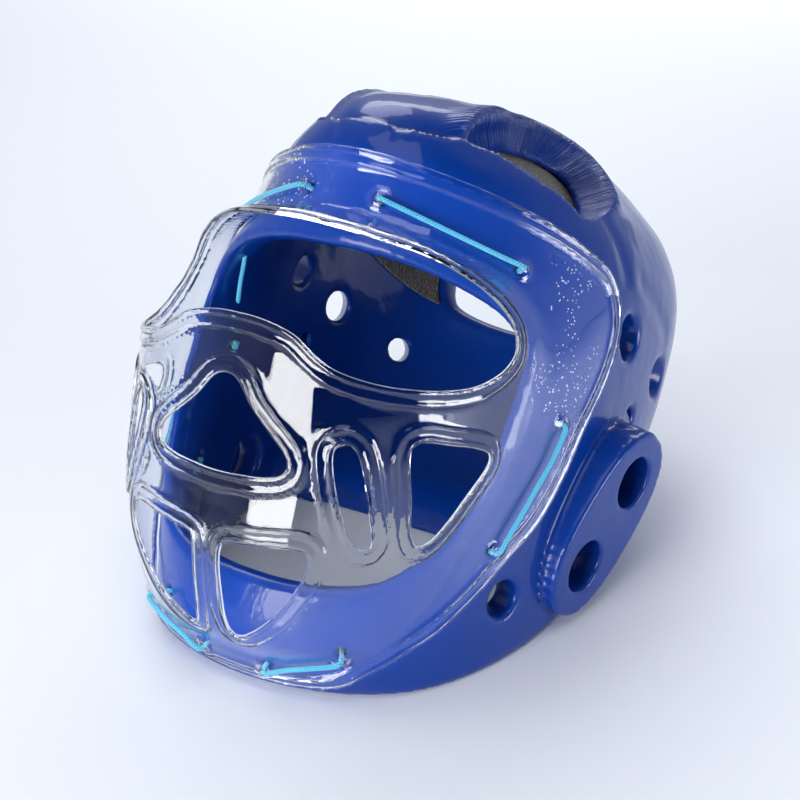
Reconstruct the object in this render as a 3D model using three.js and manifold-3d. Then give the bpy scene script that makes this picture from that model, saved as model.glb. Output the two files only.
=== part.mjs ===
// Martial arts head guard: a dipped foam shell with a clear face shield tied on by elastic laces.
// The shapes are worked out in the frame of the head that wears it (X to its left, Y to the back,
// Z up), then leant back until the lower rim lies flat, as the guard rests by itself.
import * as THREE from "three";
import Module from "manifold-3d";

const wasm = await Module();
wasm.setup();

// Sizes in millimetres: the foam across, from front to back and from the chin to the crown, then
// walls, cords, pads and holes
const WIDTH = 204;
const HALF = WIDTH / 2;
const LENGTH = 293;
const HEIGHT = 281.4;
const LEAN = THREE.MathUtils.degToRad(25);
const FOAM = 15;
const SHEET = 2;
const GAP = 0.3;
const LINER = 2.5;
const LINER_REACH = 4;
const LACE_RADIUS = 1.1;
const LACE_HOLE_RADIUS = 2.3;
const LACE_BEND = 2.6;
const KNOT_RADIUS = 2.6;
const KNOT_SINK = 1.5;
const TAIL_LENGTH = 46;
const PAD_LENGTH = 96;
const PAD_WIDTH = 55;
const PAD_POWER = 2.4;
const PAD_RISE = 12;
const PAD_HOLE_RADIUS = 12.6;
const PAD_HOLE_SPACING = 46;
const STEP = 6;
const VENT_HOLE_RADIUS = 11.2;
const REACH = 2 * WIDTH;
const AROUND = 36;
const CORD_SIDES = 5;
const RUN_SPANS = 6;
const INNER_DEPTH = SHEET + 2 * GAP + FOAM;

// Outer surface of the foam, one row a level
const SHELL_ROWS = table(
  ["level", "front", "back", "half", "middle", "frontPower", "backPower"],
  [HEIGHT, LENGTH, LENGTH, HALF, LENGTH, 1, 1],
  [
    [-0.0355, 0.0683, 0.5119, 0.8235, 0.3413, 2.1, 4],
    [0, 0.0478, 0.5119, 0.8627, 0.3481, 2.1, 4],
    [0.0355, 0.0102, 0.5119, 0.902, 0.3549, 2, 4],
    [0.0711, -0.0273, 0.5119, 0.9314, 0.3618, 2, 4],
    [0.1244, -0.041, 0.5119, 0.9608, 0.3686, 2, 4],
    [0.1777, -0.0444, 0.5188, 0.9755, 0.3754, 2.1, 4],
    [0.2488, -0.0648, 0.5324, 0.9853, 0.3823, 2.1, 3.8],
    [0.3198, -0.0853, 0.6212, 0.9902, 0.3959, 2.1, 3.4],
    [0.3909, -0.099, 0.7235, 0.9951, 0.4164, 2.15, 3.1],
    [0.462, -0.1058, 0.8055, 1, 0.4369, 2.2, 3],
    [0.533, -0.099, 0.8567, 1, 0.4437, 2.2, 3],
    [0.6041, -0.0751, 0.884, 0.9951, 0.4505, 2.2, 3],
    [0.6752, -0.0341, 0.8942, 0.9853, 0.4608, 2.1, 3],
    [0.7285, -0.0068, 0.8942, 0.9657, 0.471, 2, 3],
    [0.7818, 0.0034, 0.8874, 0.9216, 0.4812, 2, 3],
    [0.8529, 0.0068, 0.8635, 0.8088, 0.4915, 2, 2.9],
    [0.9026, 0.0307, 0.8294, 0.6667, 0.4915, 2, 2.7],
    [0.9382, 0.0887, 0.785, 0.5539, 0.4778, 2, 2.5],
    [0.9666, 0.157, 0.7099, 0.4412, 0.4505, 2, 2.4],
    [0.9879, 0.2457, 0.6075, 0.2843, 0.4266, 2, 2.2],
    [0.9986, 0.3413, 0.4778, 0.0784, 0.4027, 2, 2],
  ],
);

// Dome of the shield in front of the foam, one row a level
const DOME_POWER = 2.75;
const DOME_ROWS = table(
  ["level", "front", "half"],
  [HEIGHT, LENGTH, HALF],
  [
    [-0.0355, 0.1024, 0.5882],
    [0.0213, 0.0546, 0.5882],
    [0.0569, -0.0137, 0.6275],
    [0.0853, -0.058, 0.6765],
    [0.1066, -0.0836, 0.7157],
    [0.1564, -0.116, 0.7745],
    [0.2381, -0.1509, 0.8431],
    [0.2985, -0.1604, 0.8824],
    [0.3518, -0.1659, 0.9118],
    [0.4264, -0.1758, 0.9363],
    [0.4904, -0.1853, 0.9461],
    [0.5721, -0.1863, 0.9461],
    [0.6041, -0.1758, 0.9363],
    [0.6432, -0.157, 0.9069],
    [0.6716, -0.1399, 0.8676],
    [0.6965, -0.1212, 0.8039],
    [0.7107, -0.1092, 0.7402],
    [0.7249, -0.0973, 0.6471],
    [0.7392, -0.0717, 0.4902],
    [0.7498, -0.041, 0.3333],
    [0.7605, 0, 0.2157],
    [0.7889, 0.0546, 0.1569],
    [0.8529, 0.1365, 0.098],
  ],
);

// Levels of the rings that the surfaces are drawn through
const SHELL_LEVELS = [
  -0.0355, 0.0213, 0.064, 0.1208, 0.2132, 0.3198, 0.4264, 0.533, 0.6326, 0.7036, 0.7605, 0.8102, 0.86,
  0.9062, 0.9417, 0.9666, 0.9879,
].map((share) => share * HEIGHT);
const SHIELD_LEVELS = [
  -0.0142, 0.0284, 0.064, 0.1066, 0.1635, 0.2416, 0.3269, 0.4122, 0.4904, 0.5686, 0.6254, 0.6681,
  0.7001, 0.7285, 0.7569, 0.8031, 0.8564,
].map((share) => share * HEIGHT);

// Openings seen from the front: half outlines of across and level, mirrored where they meet x = 0
const EYE_OPENING = outline(HALF, HEIGHT, [
  [0, 0.5739], [0.098, 0.5725], [0.176, 0.5682], [0.255, 0.5601], [0.324, 0.5437], [0.407, 0.5274],
  [0.525, 0.5192], [0.626, 0.5195], [0.725, 0.527], [0.785, 0.5398], [0.822, 0.5608], [0.838, 0.5807],
  [0.837, 0.6038], [0.813, 0.6333], [0.765, 0.6585], [0.692, 0.6805], [0.589, 0.699], [0.485, 0.7104],
  [0.388, 0.7154], [0.204, 0.721], [0, 0.7242],
]);
const NOSE_OPENING = outline(HALF, HEIGHT, [
  [0, 0.3475], [0.132, 0.3511], [0.216, 0.3554], [0.282, 0.3639], [0.308, 0.3753], [0.302, 0.3927],
  [0.275, 0.4058], [0.206, 0.4271], [0.127, 0.4542], [0.088, 0.4726], [0.059, 0.4847], [0.025, 0.4911],
  [0, 0.4918],
]);
const FACE_OPENING = outline(HALF, HEIGHT, [
  [0, 0.1919], [0.196, 0.1937], [0.373, 0.2026], [0.529, 0.2239], [0.637, 0.2665], [0.706, 0.3127],
  [0.755, 0.3731], [0.789, 0.4442], [0.804, 0.5153], [0.804, 0.5686], [0.789, 0.6041], [0.755, 0.629],
  [0.686, 0.6539], [0.559, 0.6752], [0.422, 0.6894], [0.235, 0.699], [0, 0.7008],
]);
const REAR_WINDOW = outline(HALF, HEIGHT, [
  [0, 0.6326], [0.216, 0.6343], [0.412, 0.645], [0.529, 0.661], [0.559, 0.6787], [0.564, 0.7285],
  [0.539, 0.764], [0.461, 0.7818], [0.235, 0.7889], [0, 0.7889],
]);

// Openings on one side, made on both
const LOW_OPENING = outline(HALF, HEIGHT, [
  [0.071, 0.2459], [0.088, 0.2516], [0.249, 0.2615], [0.382, 0.2694], [0.418, 0.2665], [0.427, 0.2559],
  [0.419, 0.2331], [0.342, 0.1802], [0.23, 0.134], [0.127, 0.1102], [0.093, 0.1109], [0.075, 0.1269],
  [0.067, 0.1741],
]);
const SLOT_OPENING = outline(HALF, HEIGHT, [
  [0.455, 0.4179], [0.476, 0.4289], [0.502, 0.4328], [0.529, 0.425], [0.553, 0.4055], [0.589, 0.3436],
  [0.607, 0.2971], [0.597, 0.2857], [0.575, 0.2825], [0.542, 0.2957], [0.494, 0.3426], [0.461, 0.3898],
]);
const SIDE_OPENING = outline(HALF, HEIGHT, [
  [0.673, 0.4364], [0.684, 0.4492], [0.713, 0.4556], [0.759, 0.4559], [0.809, 0.457], [0.833, 0.4534],
  [0.839, 0.4428], [0.834, 0.4247], [0.801, 0.3753], [0.771, 0.3369], [0.735, 0.3063], [0.716, 0.2992],
  [0.702, 0.3063], [0.689, 0.3671],
]);

// Edge of the shield seen from the side: back from the face and level
const SHIELD_EDGE = outline(LENGTH, HEIGHT, [
  [0.001, 0.0306], [0.022, 0.0448], [0.035, 0.08], [0.059, 0.1169], [0.092, 0.1677], [0.126, 0.2278],
  [0.162, 0.2868], [0.208, 0.3451], [0.244, 0.4197], [0.273, 0.4993], [0.309, 0.5704], [0.328, 0.618],
  [0.339, 0.6713], [0.335, 0.7186], [0.315, 0.7552], [0.268, 0.7797], [0.209, 0.8003], [0.143, 0.8173],
  [0.09, 0.8287], [0.038, 0.8401], [0.003, 0.8493],
]);

// Crown vents: back and outward along a slope that faces up and out
const VENT_SLOPE = THREE.MathUtils.degToRad(40);
const VENT_BASE = 0.9026 * HEIGHT;
const VENT_LIFT = 0.4 * HALF;
const VENT_OUTLINE = outline(LENGTH, HALF, [
  [0.122, 0.2941], [0.14, 0.3275], [0.164, 0.3627], [0.188, 0.398], [0.212, 0.451], [0.253, 0.5735],
  [0.283, 0.6716], [0.3, 0.6961], [0.324, 0.6863], [0.365, 0.6471], [0.403, 0.5882], [0.444, 0.4706],
  [0.464, 0.3529], [0.454, 0.2549], [0.416, 0.201], [0.355, 0.1765], [0.266, 0.1667], [0.191, 0.1863],
  [0.143, 0.2304],
]);

// Vent holes of one side: where each meets the outside, its two radii and which way it faces
const VENT_HOLES = table(
  ["x", "y", "z", "outer", "inner", "outwards", "backwards", "upwards"],
  [HALF, LENGTH, HEIGHT, VENT_HOLE_RADIUS, VENT_HOLE_RADIUS, 1, 1, 1],
  [
    [0.9804, 0.4078, 0.6645, 1, 0.679, 1, 0, 0.08],
    [0.9755, 0.5939, 0.6077, 0.946, 0.76, 0.75, 0.66, 0],
    [0.9951, 0.4761, 0.5295, 0.482, 0.357, 1, 0, 0],
    [0.902, 0.1928, 0.2203, 0.804, 0.58, 0.85, -0.5, 0],
    [0.7549, 0.7235, 0.8387, 0.714, 0.536, 0.8, 0.35, 0.45],
    [0.8235, 0.785, 0.5437, 0.759, 0.625, 0.72, 0.69, 0],
    [0.7843, 0.587, 0.3269, 0.625, 0.491, 0.75, 0.5, -0.4],
  ],
);

// Laces of one side: the two holes of each, by across and level
const LACES = table(
  ["x0", "z0", "x1", "z1"],
  [HALF, HEIGHT, HALF, HEIGHT],
  [
    [0.1824, 0.7825, 0.7216, 0.7249],
    [0.9588, 0.5068, 0.8775, 0.2967],
    [0.1569, 0.0576, 0.4941, 0.1016],
  ],
);
const LACE_NAMES = ["brow_lace", "cheek_lace", "chin_lace"];

// Ear pads: centre of the outer face, which way it faces and how far its length leans back
const PAD_CENTRE = new THREE.Vector3(HALF + PAD_RISE, 0.377 * LENGTH, 0.3554 * HEIGHT);
const PAD_NORMAL = new THREE.Vector3(0.98, -0.155, -0.117).normalize();
const PAD_TURN = THREE.MathUtils.degToRad(65);
const PAD_ROOT = PAD_RISE + 2 * FOAM;

// How far back from the face the front and rear openings are cut
const FRONT = 0.2 * LENGTH;
const MIDDLE = 0.375 * LENGTH;
const REAR = 0.614 * LENGTH;

// Rows with named columns, each a share of the size given for it
function table(names, sizes, rows) {
  return rows.map((row) => Object.fromEntries(names.map((name, k) => [name, row[k] * sizes[k]])));
}

// A flat outline in shares of two sizes
function outline(u, v, shares) {
  return shares.map(([first, second]) => [first * u, second * v]);
}

// A smooth curve through the rows of one column that never overshoots them
function column(rows, name) {
  const t = rows.map((row) => row.level);
  const v = rows.map((row) => row[name]);
  const last = t.length - 1;
  const rise = t.slice(1).map((level, k) => (v[k + 1] - v[k]) / (level - t[k]));
  const slope = v.map((value, k) => {
    if (k === 0) return rise[0];
    if (k === last) return rise[last - 1];
    return rise[k - 1] * rise[k] <= 0 ? 0 : (2 * rise[k - 1] * rise[k]) / (rise[k - 1] + rise[k]);
  });
  return (level) => {
    const at = Math.min(Math.max(level, t[0]), t[last]);
    let k = 0;
    while (k < last - 1 && at > t[k + 1]) k += 1;
    const h = t[k + 1] - t[k];
    const s = (at - t[k]) / h;
    const a = (1 + 2 * s) * (1 - s) ** 2 * v[k] + s * (1 - s) ** 2 * h * slope[k];
    return a + s ** 2 * (3 - 2 * s) * v[k + 1] + s ** 2 * (s - 1) * h * slope[k + 1];
  };
}

const SHELL_COLUMNS = ["front", "back", "half", "middle", "frontPower", "backPower"];
const shell = Object.fromEntries(SHELL_COLUMNS.map((name) => [name, column(SHELL_ROWS, name)]));
const dome = Object.fromEntries(["front", "half"].map((name) => [name, column(DOME_ROWS, name)]));

// How far the oval of one level reaches in a direction
function oval(cosine, sine, half, deep, power) {
  return (Math.abs(cosine / half) ** power + Math.abs(sine / deep) ** power) ** (-1 / power);
}

// A point of the foam's outer surface, turned round its middle (0 is the wearer's left)
function foamPoint(angle, level) {
  const cosine = Math.cos(angle);
  const sine = Math.sin(angle);
  const middle = shell.middle(level);
  const ahead = sine < 0;
  const deep = ahead ? middle - shell.front(level) : shell.back(level) - middle;
  const power = ahead ? shell.frontPower(level) : shell.backPower(level);
  const radius = oval(cosine, sine, shell.half(level), deep, power);
  return new THREE.Vector3(radius * cosine, middle + radius * sine, level);
}

// The direction square to a surface at one of its points
function facing(point, angle, level) {
  const step = 0.02;
  const along = point(angle + step, level).sub(point(angle - step, level));
  const up = point(angle, Math.min(level + 1, HEIGHT - 0.6)).sub(point(angle, level - 1));
  return along.cross(up).normalize();
}

function offsetPoint(angle, level, distance) {
  return foamPoint(angle, level).addScaledVector(facing(foamPoint, angle, level), distance);
}

// A point of the shield: its dome where that stands out, else close round the foam, with a short
// slope between the two
function shieldPoint(angle, level, distance) {
  const cosine = Math.cos(angle);
  const sine = Math.sin(angle);
  const middle = shell.middle(level);
  const close = offsetPoint(angle, level, 2 * GAP + distance);
  const deep = middle - dome.front(level);
  const radius = oval(cosine, sine, dome.half(level), deep, DOME_POWER) - SHEET + distance;
  const far = new THREE.Vector3(radius * cosine, middle + radius * sine, level);
  const gain = Math.hypot(far.x, far.y - middle) - Math.hypot(close.x, close.y - middle);
  return sine < 0 ? close.lerp(far, Math.min(Math.max(gain / STEP, 0), 1)) : close;
}

// Solids
function solid(points, faces) {
  const mesh = new wasm.Mesh({
    numProp: 3,
    vertProperties: new Float32Array(points.flatMap((point) => [point.x, point.y, point.z])),
    triVerts: new Uint32Array(faces.flat()),
  });
  return new wasm.Manifold(mesh);
}

// A closed skin through rings of points, with a point at each end
function lidded(rings, bottom, top) {
  const around = rings[0].length;
  const points = [...rings.flat(), bottom, top];
  const low = points.length - 2;
  const high = points.length - 1;
  const faces = [];
  const start = (rings.length - 1) * around;
  for (let i = 0; i < around; i += 1) {
    const j = (i + 1) % around;
    for (let k = 0; k < rings.length - 1; k += 1) {
      const a = k * around + i;
      const b = k * around + j;
      const right = points[a].x + points[b].x > 0;
      if (right) faces.push([a, b, b + around], [a, b + around, a + around]);
      else faces.push([a, b, a + around], [b, b + around, a + around]);
    }
    faces.push([low, j, i], [high, start + i, start + j]);
  }
  return solid(points, faces);
}

// The foam's outer form, moved out by a distance (or in, when it is negative)
function form(distance) {
  const rings = SHELL_LEVELS.map((level) =>
    Array.from({ length: AROUND }, (_, i) => offsetPoint((2 * Math.PI * i) / AROUND, level, distance)),
  );
  const low = new THREE.Vector3(0, shell.middle(SHELL_LEVELS[0]), SHELL_LEVELS[0] + Math.min(0, distance));
  const high = new THREE.Vector3(0, shell.middle(HEIGHT), HEIGHT + distance);
  return lidded(rings, low, high);
}

// A prism over an outline given in two coordinates, placed by its own frame
function prism(flat, depth, frame) {
  const shape = new THREE.Shape(flat.map(([u, v]) => new THREE.Vector2(u, v)));
  const geometry = new THREE.ExtrudeGeometry(shape, { depth, bevelEnabled: false });
  return weld(geometry.applyMatrix4(frame));
}

// A manifold solid of a three.js geometry
function weld(geometry) {
  const position = geometry.getAttribute("position");
  const seen = new Map();
  const points = [];
  const order = [];
  for (let k = 0; k < position.count; k += 1) {
    const point = new THREE.Vector3().fromBufferAttribute(position, k);
    const key = point.toArray().map((value) => value.toFixed(4)).join();
    if (!seen.has(key)) {
      seen.set(key, points.length);
      points.push(point);
    }
    order.push(seen.get(key));
  }
  const index = geometry.index ? Array.from(geometry.index.array) : order.map((_, k) => k);
  const faces = [];
  for (let k = 0; k < index.length; k += 3) {
    const face = [order[index[k]], order[index[k + 1]], order[index[k + 2]]];
    if (new Set(face).size === 3) faces.push(face);
  }
  const made = solid(points, faces);
  return made.volume() < 0 ? solid(points, faces.map(([a, b, c]) => [a, c, b])) : made;
}

// Frames whose x and y carry an outline and whose z is the way the prism runs
function frameOf(x, y, z, origin) {
  return new THREE.Matrix4().makeBasis(x, y, z).setPosition(origin);
}

const acrossAxis = new THREE.Vector3(1, 0, 0);
const backAxis = new THREE.Vector3(0, 1, 0);
const upAxis = new THREE.Vector3(0, 0, 1);

// Outlines seen from the front run to the back from a given start
function frontPrism(flat, start, depth) {
  const shift = new THREE.Vector3(0, start + depth, 0);
  return prism(flat, depth, frameOf(acrossAxis, upAxis, backAxis.clone().negate(), shift));
}

// Outlines seen from the side run right across
function sidePrism(flat) {
  const shift = new THREE.Vector3(-REACH, 0, 0);
  return prism(flat, 2 * REACH, frameOf(backAxis, upAxis, acrossAxis, shift));
}

function mirrored(half) {
  const other = half.filter(([u]) => u > 0).map(([u, v]) => [-u, v]).reverse();
  return [...half, ...other];
}

function flipped(flat) {
  return flat.map(([u, v]) => [-u, v]).reverse();
}

// A flat outline grown by a distance along its own corners
function grown(flat, distance) {
  const ccw = THREE.ShapeUtils.area(flat.map(([u, v]) => new THREE.Vector2(u, v))) > 0 ? 1 : -1;
  return flat.map(([u, v], k) => {
    const [pu, pv] = flat[(k + flat.length - 1) % flat.length];
    const [nu, nv] = flat[(k + 1) % flat.length];
    const a = new THREE.Vector2(u - pu, v - pv).normalize();
    const b = new THREE.Vector2(nu - u, nv - v).normalize();
    const out = new THREE.Vector2(a.y + b.y, -a.x - b.x).normalize();
    const lean = Math.max(0.5, out.x * a.y - out.y * a.x);
    return [u + (ccw * distance * out.x) / lean, v + (ccw * distance * out.y) / lean];
  });
}

// A round cutter along an axis, from one radius to another
function tapered(from, to, radiusFrom, radiusTo, sides) {
  const length = from.distanceTo(to);
  const turn = new THREE.Quaternion().setFromUnitVectors(backAxis, to.clone().sub(from).normalize());
  const centre = from.clone().add(to).multiplyScalar(0.5);
  const geometry = new THREE.CylinderGeometry(radiusTo, radiusFrom, length, sides, 1, false);
  return weld(geometry.applyQuaternion(turn).translate(centre.x, centre.y, centre.z));
}

function mirrorAcross(piece) {
  return piece.mirror([1, 0, 0]);
}

function both(piece) {
  return [piece, mirrorAcross(piece)];
}

function cut(body, cutters) {
  return cutters.reduce((left, cutter) => left.subtract(cutter), body);
}

// Where the foam's surface has a given distance across at a level, ahead of its middle
function angleAt(across, level, point) {
  let low = -Math.PI / 2;
  let high = 0;
  for (let k = 0; k < 40; k += 1) {
    const mid = (low + high) / 2;
    if (point(mid, level).x < across) low = mid;
    else high = mid;
  }
  return (low + high) / 2;
}

const outerShield = (angle, level) => shieldPoint(angle, level, SHEET);

// Floor that the guard rests on, as a plane leaning in the wearer's frame
const floorCut = new THREE.Matrix4().makeRotationX(LEAN);
const under = weld(
  new THREE.BoxGeometry(3 * REACH, 3 * REACH, REACH).translate(0, REACH, -REACH / 2).applyMatrix4(floorCut),
);

// Lace routes
const laceEnds = LACES.map((row) =>
  [0, 1].map((k) => {
    const across = row[`x${k}`];
    const level = row[`z${k}`];
    const angle = angleAt(across, level, outerShield);
    const at = outerShield(angle, level);
    const out = facing(foamPoint, angle, level);
    return { angle, level, at, out };
  }),
);

// A lace's hole, and the pocket inside the foam that its knot sits in
function laceHoleCutters(end) {
  const from = end.at.clone().addScaledVector(end.out, -2.5 * FOAM);
  const to = end.at.clone().addScaledVector(end.out, 0.8 * FOAM);
  const floor = end.at.clone().addScaledVector(end.out, KNOT_SINK + KNOT_RADIUS + GAP - INNER_DEPTH);
  return [
    tapered(from, to, LACE_HOLE_RADIUS, LACE_HOLE_RADIUS, 6),
    tapered(from, floor, KNOT_RADIUS + 4 * GAP, KNOT_RADIUS + 4 * GAP, 6),
  ];
}

// A curve that gives its own points at its own spacing
class Route extends THREE.Curve {
  constructor(points) {
    super();
    this.points = points;
  }
  getPoint(t, target = new THREE.Vector3()) {
    const spans = this.points.length - 1;
    const at = Math.min(Math.max(t, 0), 1) * spans;
    const k = Math.min(Math.floor(at + 1e-9), spans - 1);
    return target.copy(this.points[k]).lerp(this.points[k + 1], at - k);
  }
  getPointAt(u, target) {
    return this.getPoint(u, target);
  }
  getTangent(t, target = new THREE.Vector3()) {
    const spans = this.points.length - 1;
    const k = Math.round(t * spans);
    const before = this.points[Math.max(k - 1, 0)];
    return target.copy(this.points[Math.min(k + 1, spans)]).sub(before).normalize();
  }
  getTangentAt(u, target) {
    return this.getTangent(u, target);
  }
}

function cord(points) {
  const ring = Array.from({ length: CORD_SIDES }, (_, k) => {
    const turn = (2 * Math.PI * k) / CORD_SIDES;
    return new THREE.Vector2(LACE_RADIUS * Math.cos(turn), LACE_RADIUS * Math.sin(turn));
  });
  const path = new Route(points);
  const steps = points.length - 1;
  return weld(new THREE.ExtrudeGeometry(new THREE.Shape(ring), { steps, extrudePath: path }));
}

// The bend from a hole into a run along a surface
function bend(base, axis, along, height) {
  const centre = base.clone().addScaledVector(along, LACE_BEND).addScaledVector(axis, height - LACE_BEND);
  return [0, 45, 90].map((degrees) => {
    const turn = THREE.MathUtils.degToRad(degrees);
    return centre
      .clone()
      .addScaledVector(along, -LACE_BEND * Math.cos(turn))
      .addScaledVector(axis, LACE_BEND * Math.sin(turn));
  });
}

// Points of a run between two holes that stays a little off the shield
function run(ends, lift) {
  const steep = Math.abs(ends[0].at.x - ends[1].at.x) < 15;
  return Array.from({ length: RUN_SPANS - 1 }, (_, k) => {
    const share = (k + 1) / RUN_SPANS;
    const across = THREE.MathUtils.lerp(ends[0].at.x, ends[1].at.x, share);
    const level = THREE.MathUtils.lerp(ends[0].level, ends[1].level, share);
    const angle = steep
      ? THREE.MathUtils.lerp(ends[0].angle, ends[1].angle, share)
      : angleAt(across, level, outerShield);
    return outerShield(angle, level).addScaledVector(facing(outerShield, angle, level), lift);
  });
}

// The way a tail hangs: straight down at rest, and a little outwards along the inner wall
const TAIL_FALL = new THREE.Vector3(0.33, Math.sin(LEAN), -Math.cos(LEAN)).normalize();

// A lace: knotted in its pocket inside the foam, out through one hole, along the shield and in
// through the other hole to a second knot, from which a tail may hang
function lacePiece(ends, tail) {
  const rise = LACE_RADIUS + 1.2;
  const outward = run(ends, rise);
  const knots = ends.map((end) => end.at.clone().addScaledVector(end.out, KNOT_SINK - INNER_DEPTH));
  const level = (k, toward) => {
    const next = toward.clone().sub(ends[k].at);
    return next.addScaledVector(ends[k].out, -next.dot(ends[k].out)).normalize();
  };
  const route = [
    knots[0],
    ...bend(ends[0].at, ends[0].out, level(0, outward[0]), rise),
    ...outward,
    ...bend(ends[1].at, ends[1].out, level(1, outward.at(-1)), rise).reverse(),
    knots[1],
  ];
  const parts = knots.map((at) => weld(new THREE.IcosahedronGeometry(KNOT_RADIUS, 0).translate(...at)));
  parts.push(cord(route));
  if (tail > 0) {
    const fall = [0, 0.06, 0.35, 0.7, 1].map((share) => {
      const clear = 2 * KNOT_RADIUS * (1 - (1 - share) ** 16);
      return knots[1].clone().addScaledVector(TAIL_FALL, tail * share).addScaledVector(ends[1].out, -clear);
    });
    parts.push(cord(fall));
  }
  return parts.reduce((sum, part) => sum.add(part));
}

// Foam shell
const outer = form(0);
const padFrame = (() => {
  const along = new THREE.Vector3(0, Math.cos(PAD_TURN), Math.sin(PAD_TURN));
  along.addScaledVector(PAD_NORMAL, -along.dot(PAD_NORMAL)).normalize();
  const side = new THREE.Vector3().crossVectors(PAD_NORMAL, along);
  return { along, side };
})();

function padHole(k, from, to, radius) {
  const centre = PAD_CENTRE.clone().addScaledVector(padFrame.along, (k * PAD_HOLE_SPACING) / 2);
  const start = centre.clone().addScaledVector(PAD_NORMAL, from);
  const end = centre.clone().addScaledVector(PAD_NORMAL, to);
  return tapered(start, end, radius, radius, 14);
}

const ventFrame = frameOf(
  backAxis,
  new THREE.Vector3(Math.cos(VENT_SLOPE), 0, -Math.sin(VENT_SLOPE)),
  new THREE.Vector3(-Math.sin(VENT_SLOPE), 0, -Math.cos(VENT_SLOPE)),
  new THREE.Vector3(VENT_LIFT * Math.sin(VENT_SLOPE), 0, VENT_BASE + VENT_LIFT * Math.cos(VENT_SLOPE)),
);
const vent = prism(VENT_OUTLINE, HALF, ventFrame);

const ventHoles = VENT_HOLES.map((row) => {
  const axis = new THREE.Vector3(row.outwards, row.backwards, row.upwards).normalize();
  const at = new THREE.Vector3(row.x, row.y, row.z);
  const slope = (row.outer - row.inner) / FOAM;
  const from = at.clone().addScaledVector(axis, -1.6 * FOAM);
  const to = at.clone().addScaledVector(axis, 0.6 * FOAM);
  return tapered(from, to, row.inner - 0.6 * FOAM * slope, row.outer + 0.6 * FOAM * slope, 10);
});

const foamCutters = [
  form(-FOAM),
  under,
  frontPrism(mirrored(FACE_OPENING), -REACH, REACH + MIDDLE),
  frontPrism(mirrored(REAR_WINDOW), REAR, REACH),
  ...both(vent),
  ...ventHoles.flatMap(both),
  ...[-1, 1].flatMap((k) => both(padHole(k, -PAD_ROOT, PAD_ROOT, PAD_HOLE_RADIUS))),
  ...laceEnds.flat().flatMap(laceHoleCutters).flatMap(both),
];
const foamShell = cut(outer, foamCutters);

// Ear pads
const padOutline = Array.from({ length: 26 }, (_, k) => {
  const turn = (2 * Math.PI * k) / 26;
  const radius = oval(Math.cos(turn), Math.sin(turn), PAD_LENGTH / 2, PAD_WIDTH / 2, PAD_POWER);
  return [radius * Math.cos(turn), radius * Math.sin(turn)];
});
const padRoot = PAD_CENTRE.clone().addScaledVector(PAD_NORMAL, -PAD_ROOT);
const padBlock = prism(padOutline, PAD_ROOT, frameOf(padFrame.along, padFrame.side, PAD_NORMAL, padRoot));
const earPad = cut(padBlock, [
  form(GAP),
  under,
  ...[-1, 1].map((k) => padHole(k, -PAD_ROOT - 1, 1, PAD_HOLE_RADIUS)),
]);

// Face shield, closed behind by a few points well inside the foam
const BEHIND = 9;

function shieldForm(distance) {
  const half = AROUND / 2;
  const rings = SHIELD_LEVELS.map((level) =>
    Array.from({ length: half + BEHIND }, (_, i) => {
      if (i <= half) return shieldPoint(-Math.PI + (Math.PI * i) / half, level, distance);
      return new THREE.Vector3((1 - (2 * (i - half)) / BEHIND) * FRONT, MIDDLE + HALF / 2 + distance, level);
    }),
  );
  const first = SHIELD_LEVELS[0];
  const last = SHIELD_LEVELS[SHIELD_LEVELS.length - 1];
  const grow = distance === 0 ? SHEET : 0;
  const low = new THREE.Vector3(0, MIDDLE, first - grow);
  const high = new THREE.Vector3(0, MIDDLE, last + grow);
  return lidded(rings, low, high);
}

const shieldBlank = shieldForm(SHEET).subtract(shieldForm(0));
const shieldSide = [...SHIELD_EDGE, [-REACH, SHIELD_EDGE.at(-1)[1]], [-REACH, SHIELD_EDGE[0][1]]];
const shieldCutters = [
  form(GAP),
  frontPrism(mirrored(EYE_OPENING), -REACH, REACH + FRONT),
  frontPrism(mirrored(NOSE_OPENING), -REACH, REACH + FRONT),
  ...[LOW_OPENING, SLOT_OPENING, SIDE_OPENING].flatMap((opening) => [
    frontPrism(opening, -REACH, REACH + FRONT),
    frontPrism(flipped(opening), -REACH, REACH + FRONT),
  ]),
  ...laceEnds.flat().flatMap(laceHoleCutters).flatMap(both),
];
const faceShield = cut(shieldBlank.intersect(sidePrism(shieldSide)), shieldCutters);

// Crown liner
const LINER_EDGE = outline(LENGTH, HEIGHT, [
  [0.894, 0.6254], [0.805, 0.6539], [0.621, 0.7249], [0.375, 0.8031], [0.198, 0.8635], [0.198, 1.0661],
  [0.894, 1.0661],
]);
const linerBlank = form(-FOAM - GAP).subtract(form(-FOAM - GAP - LINER));
const crownLiner = cut(linerBlank.intersect(sidePrism(LINER_EDGE)), [
  frontPrism(grown(mirrored(REAR_WINDOW), LINER_REACH), REAR, REACH),
]);

// The named pieces
const looks = {
  foam: { color: 0x0f3caf, roughness: 0.25 },
  clear: { color: 0xdfe8f2, roughness: 0.08, transparent: true, opacity: 0.45 },
  cord: { color: 0x3cbeeb, roughness: 0.6 },
  cloth: { color: 0x4a4440, roughness: 0.95 },
};
const root = new THREE.Group();
root.name = "head_guard";

function named(name, piece, look) {
  const mesh = piece.getMesh();
  const geometry = new THREE.BufferGeometry();
  geometry.setAttribute("position", new THREE.Float32BufferAttribute(mesh.vertProperties, 3));
  geometry.setIndex(Array.from(mesh.triVerts));
  geometry.applyMatrix4(new THREE.Matrix4().makeRotationX(-LEAN));
  const made = new THREE.Mesh(geometry, new THREE.MeshStandardMaterial(looks[look]));
  made.name = name;
  root.add(made);
}

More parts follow.
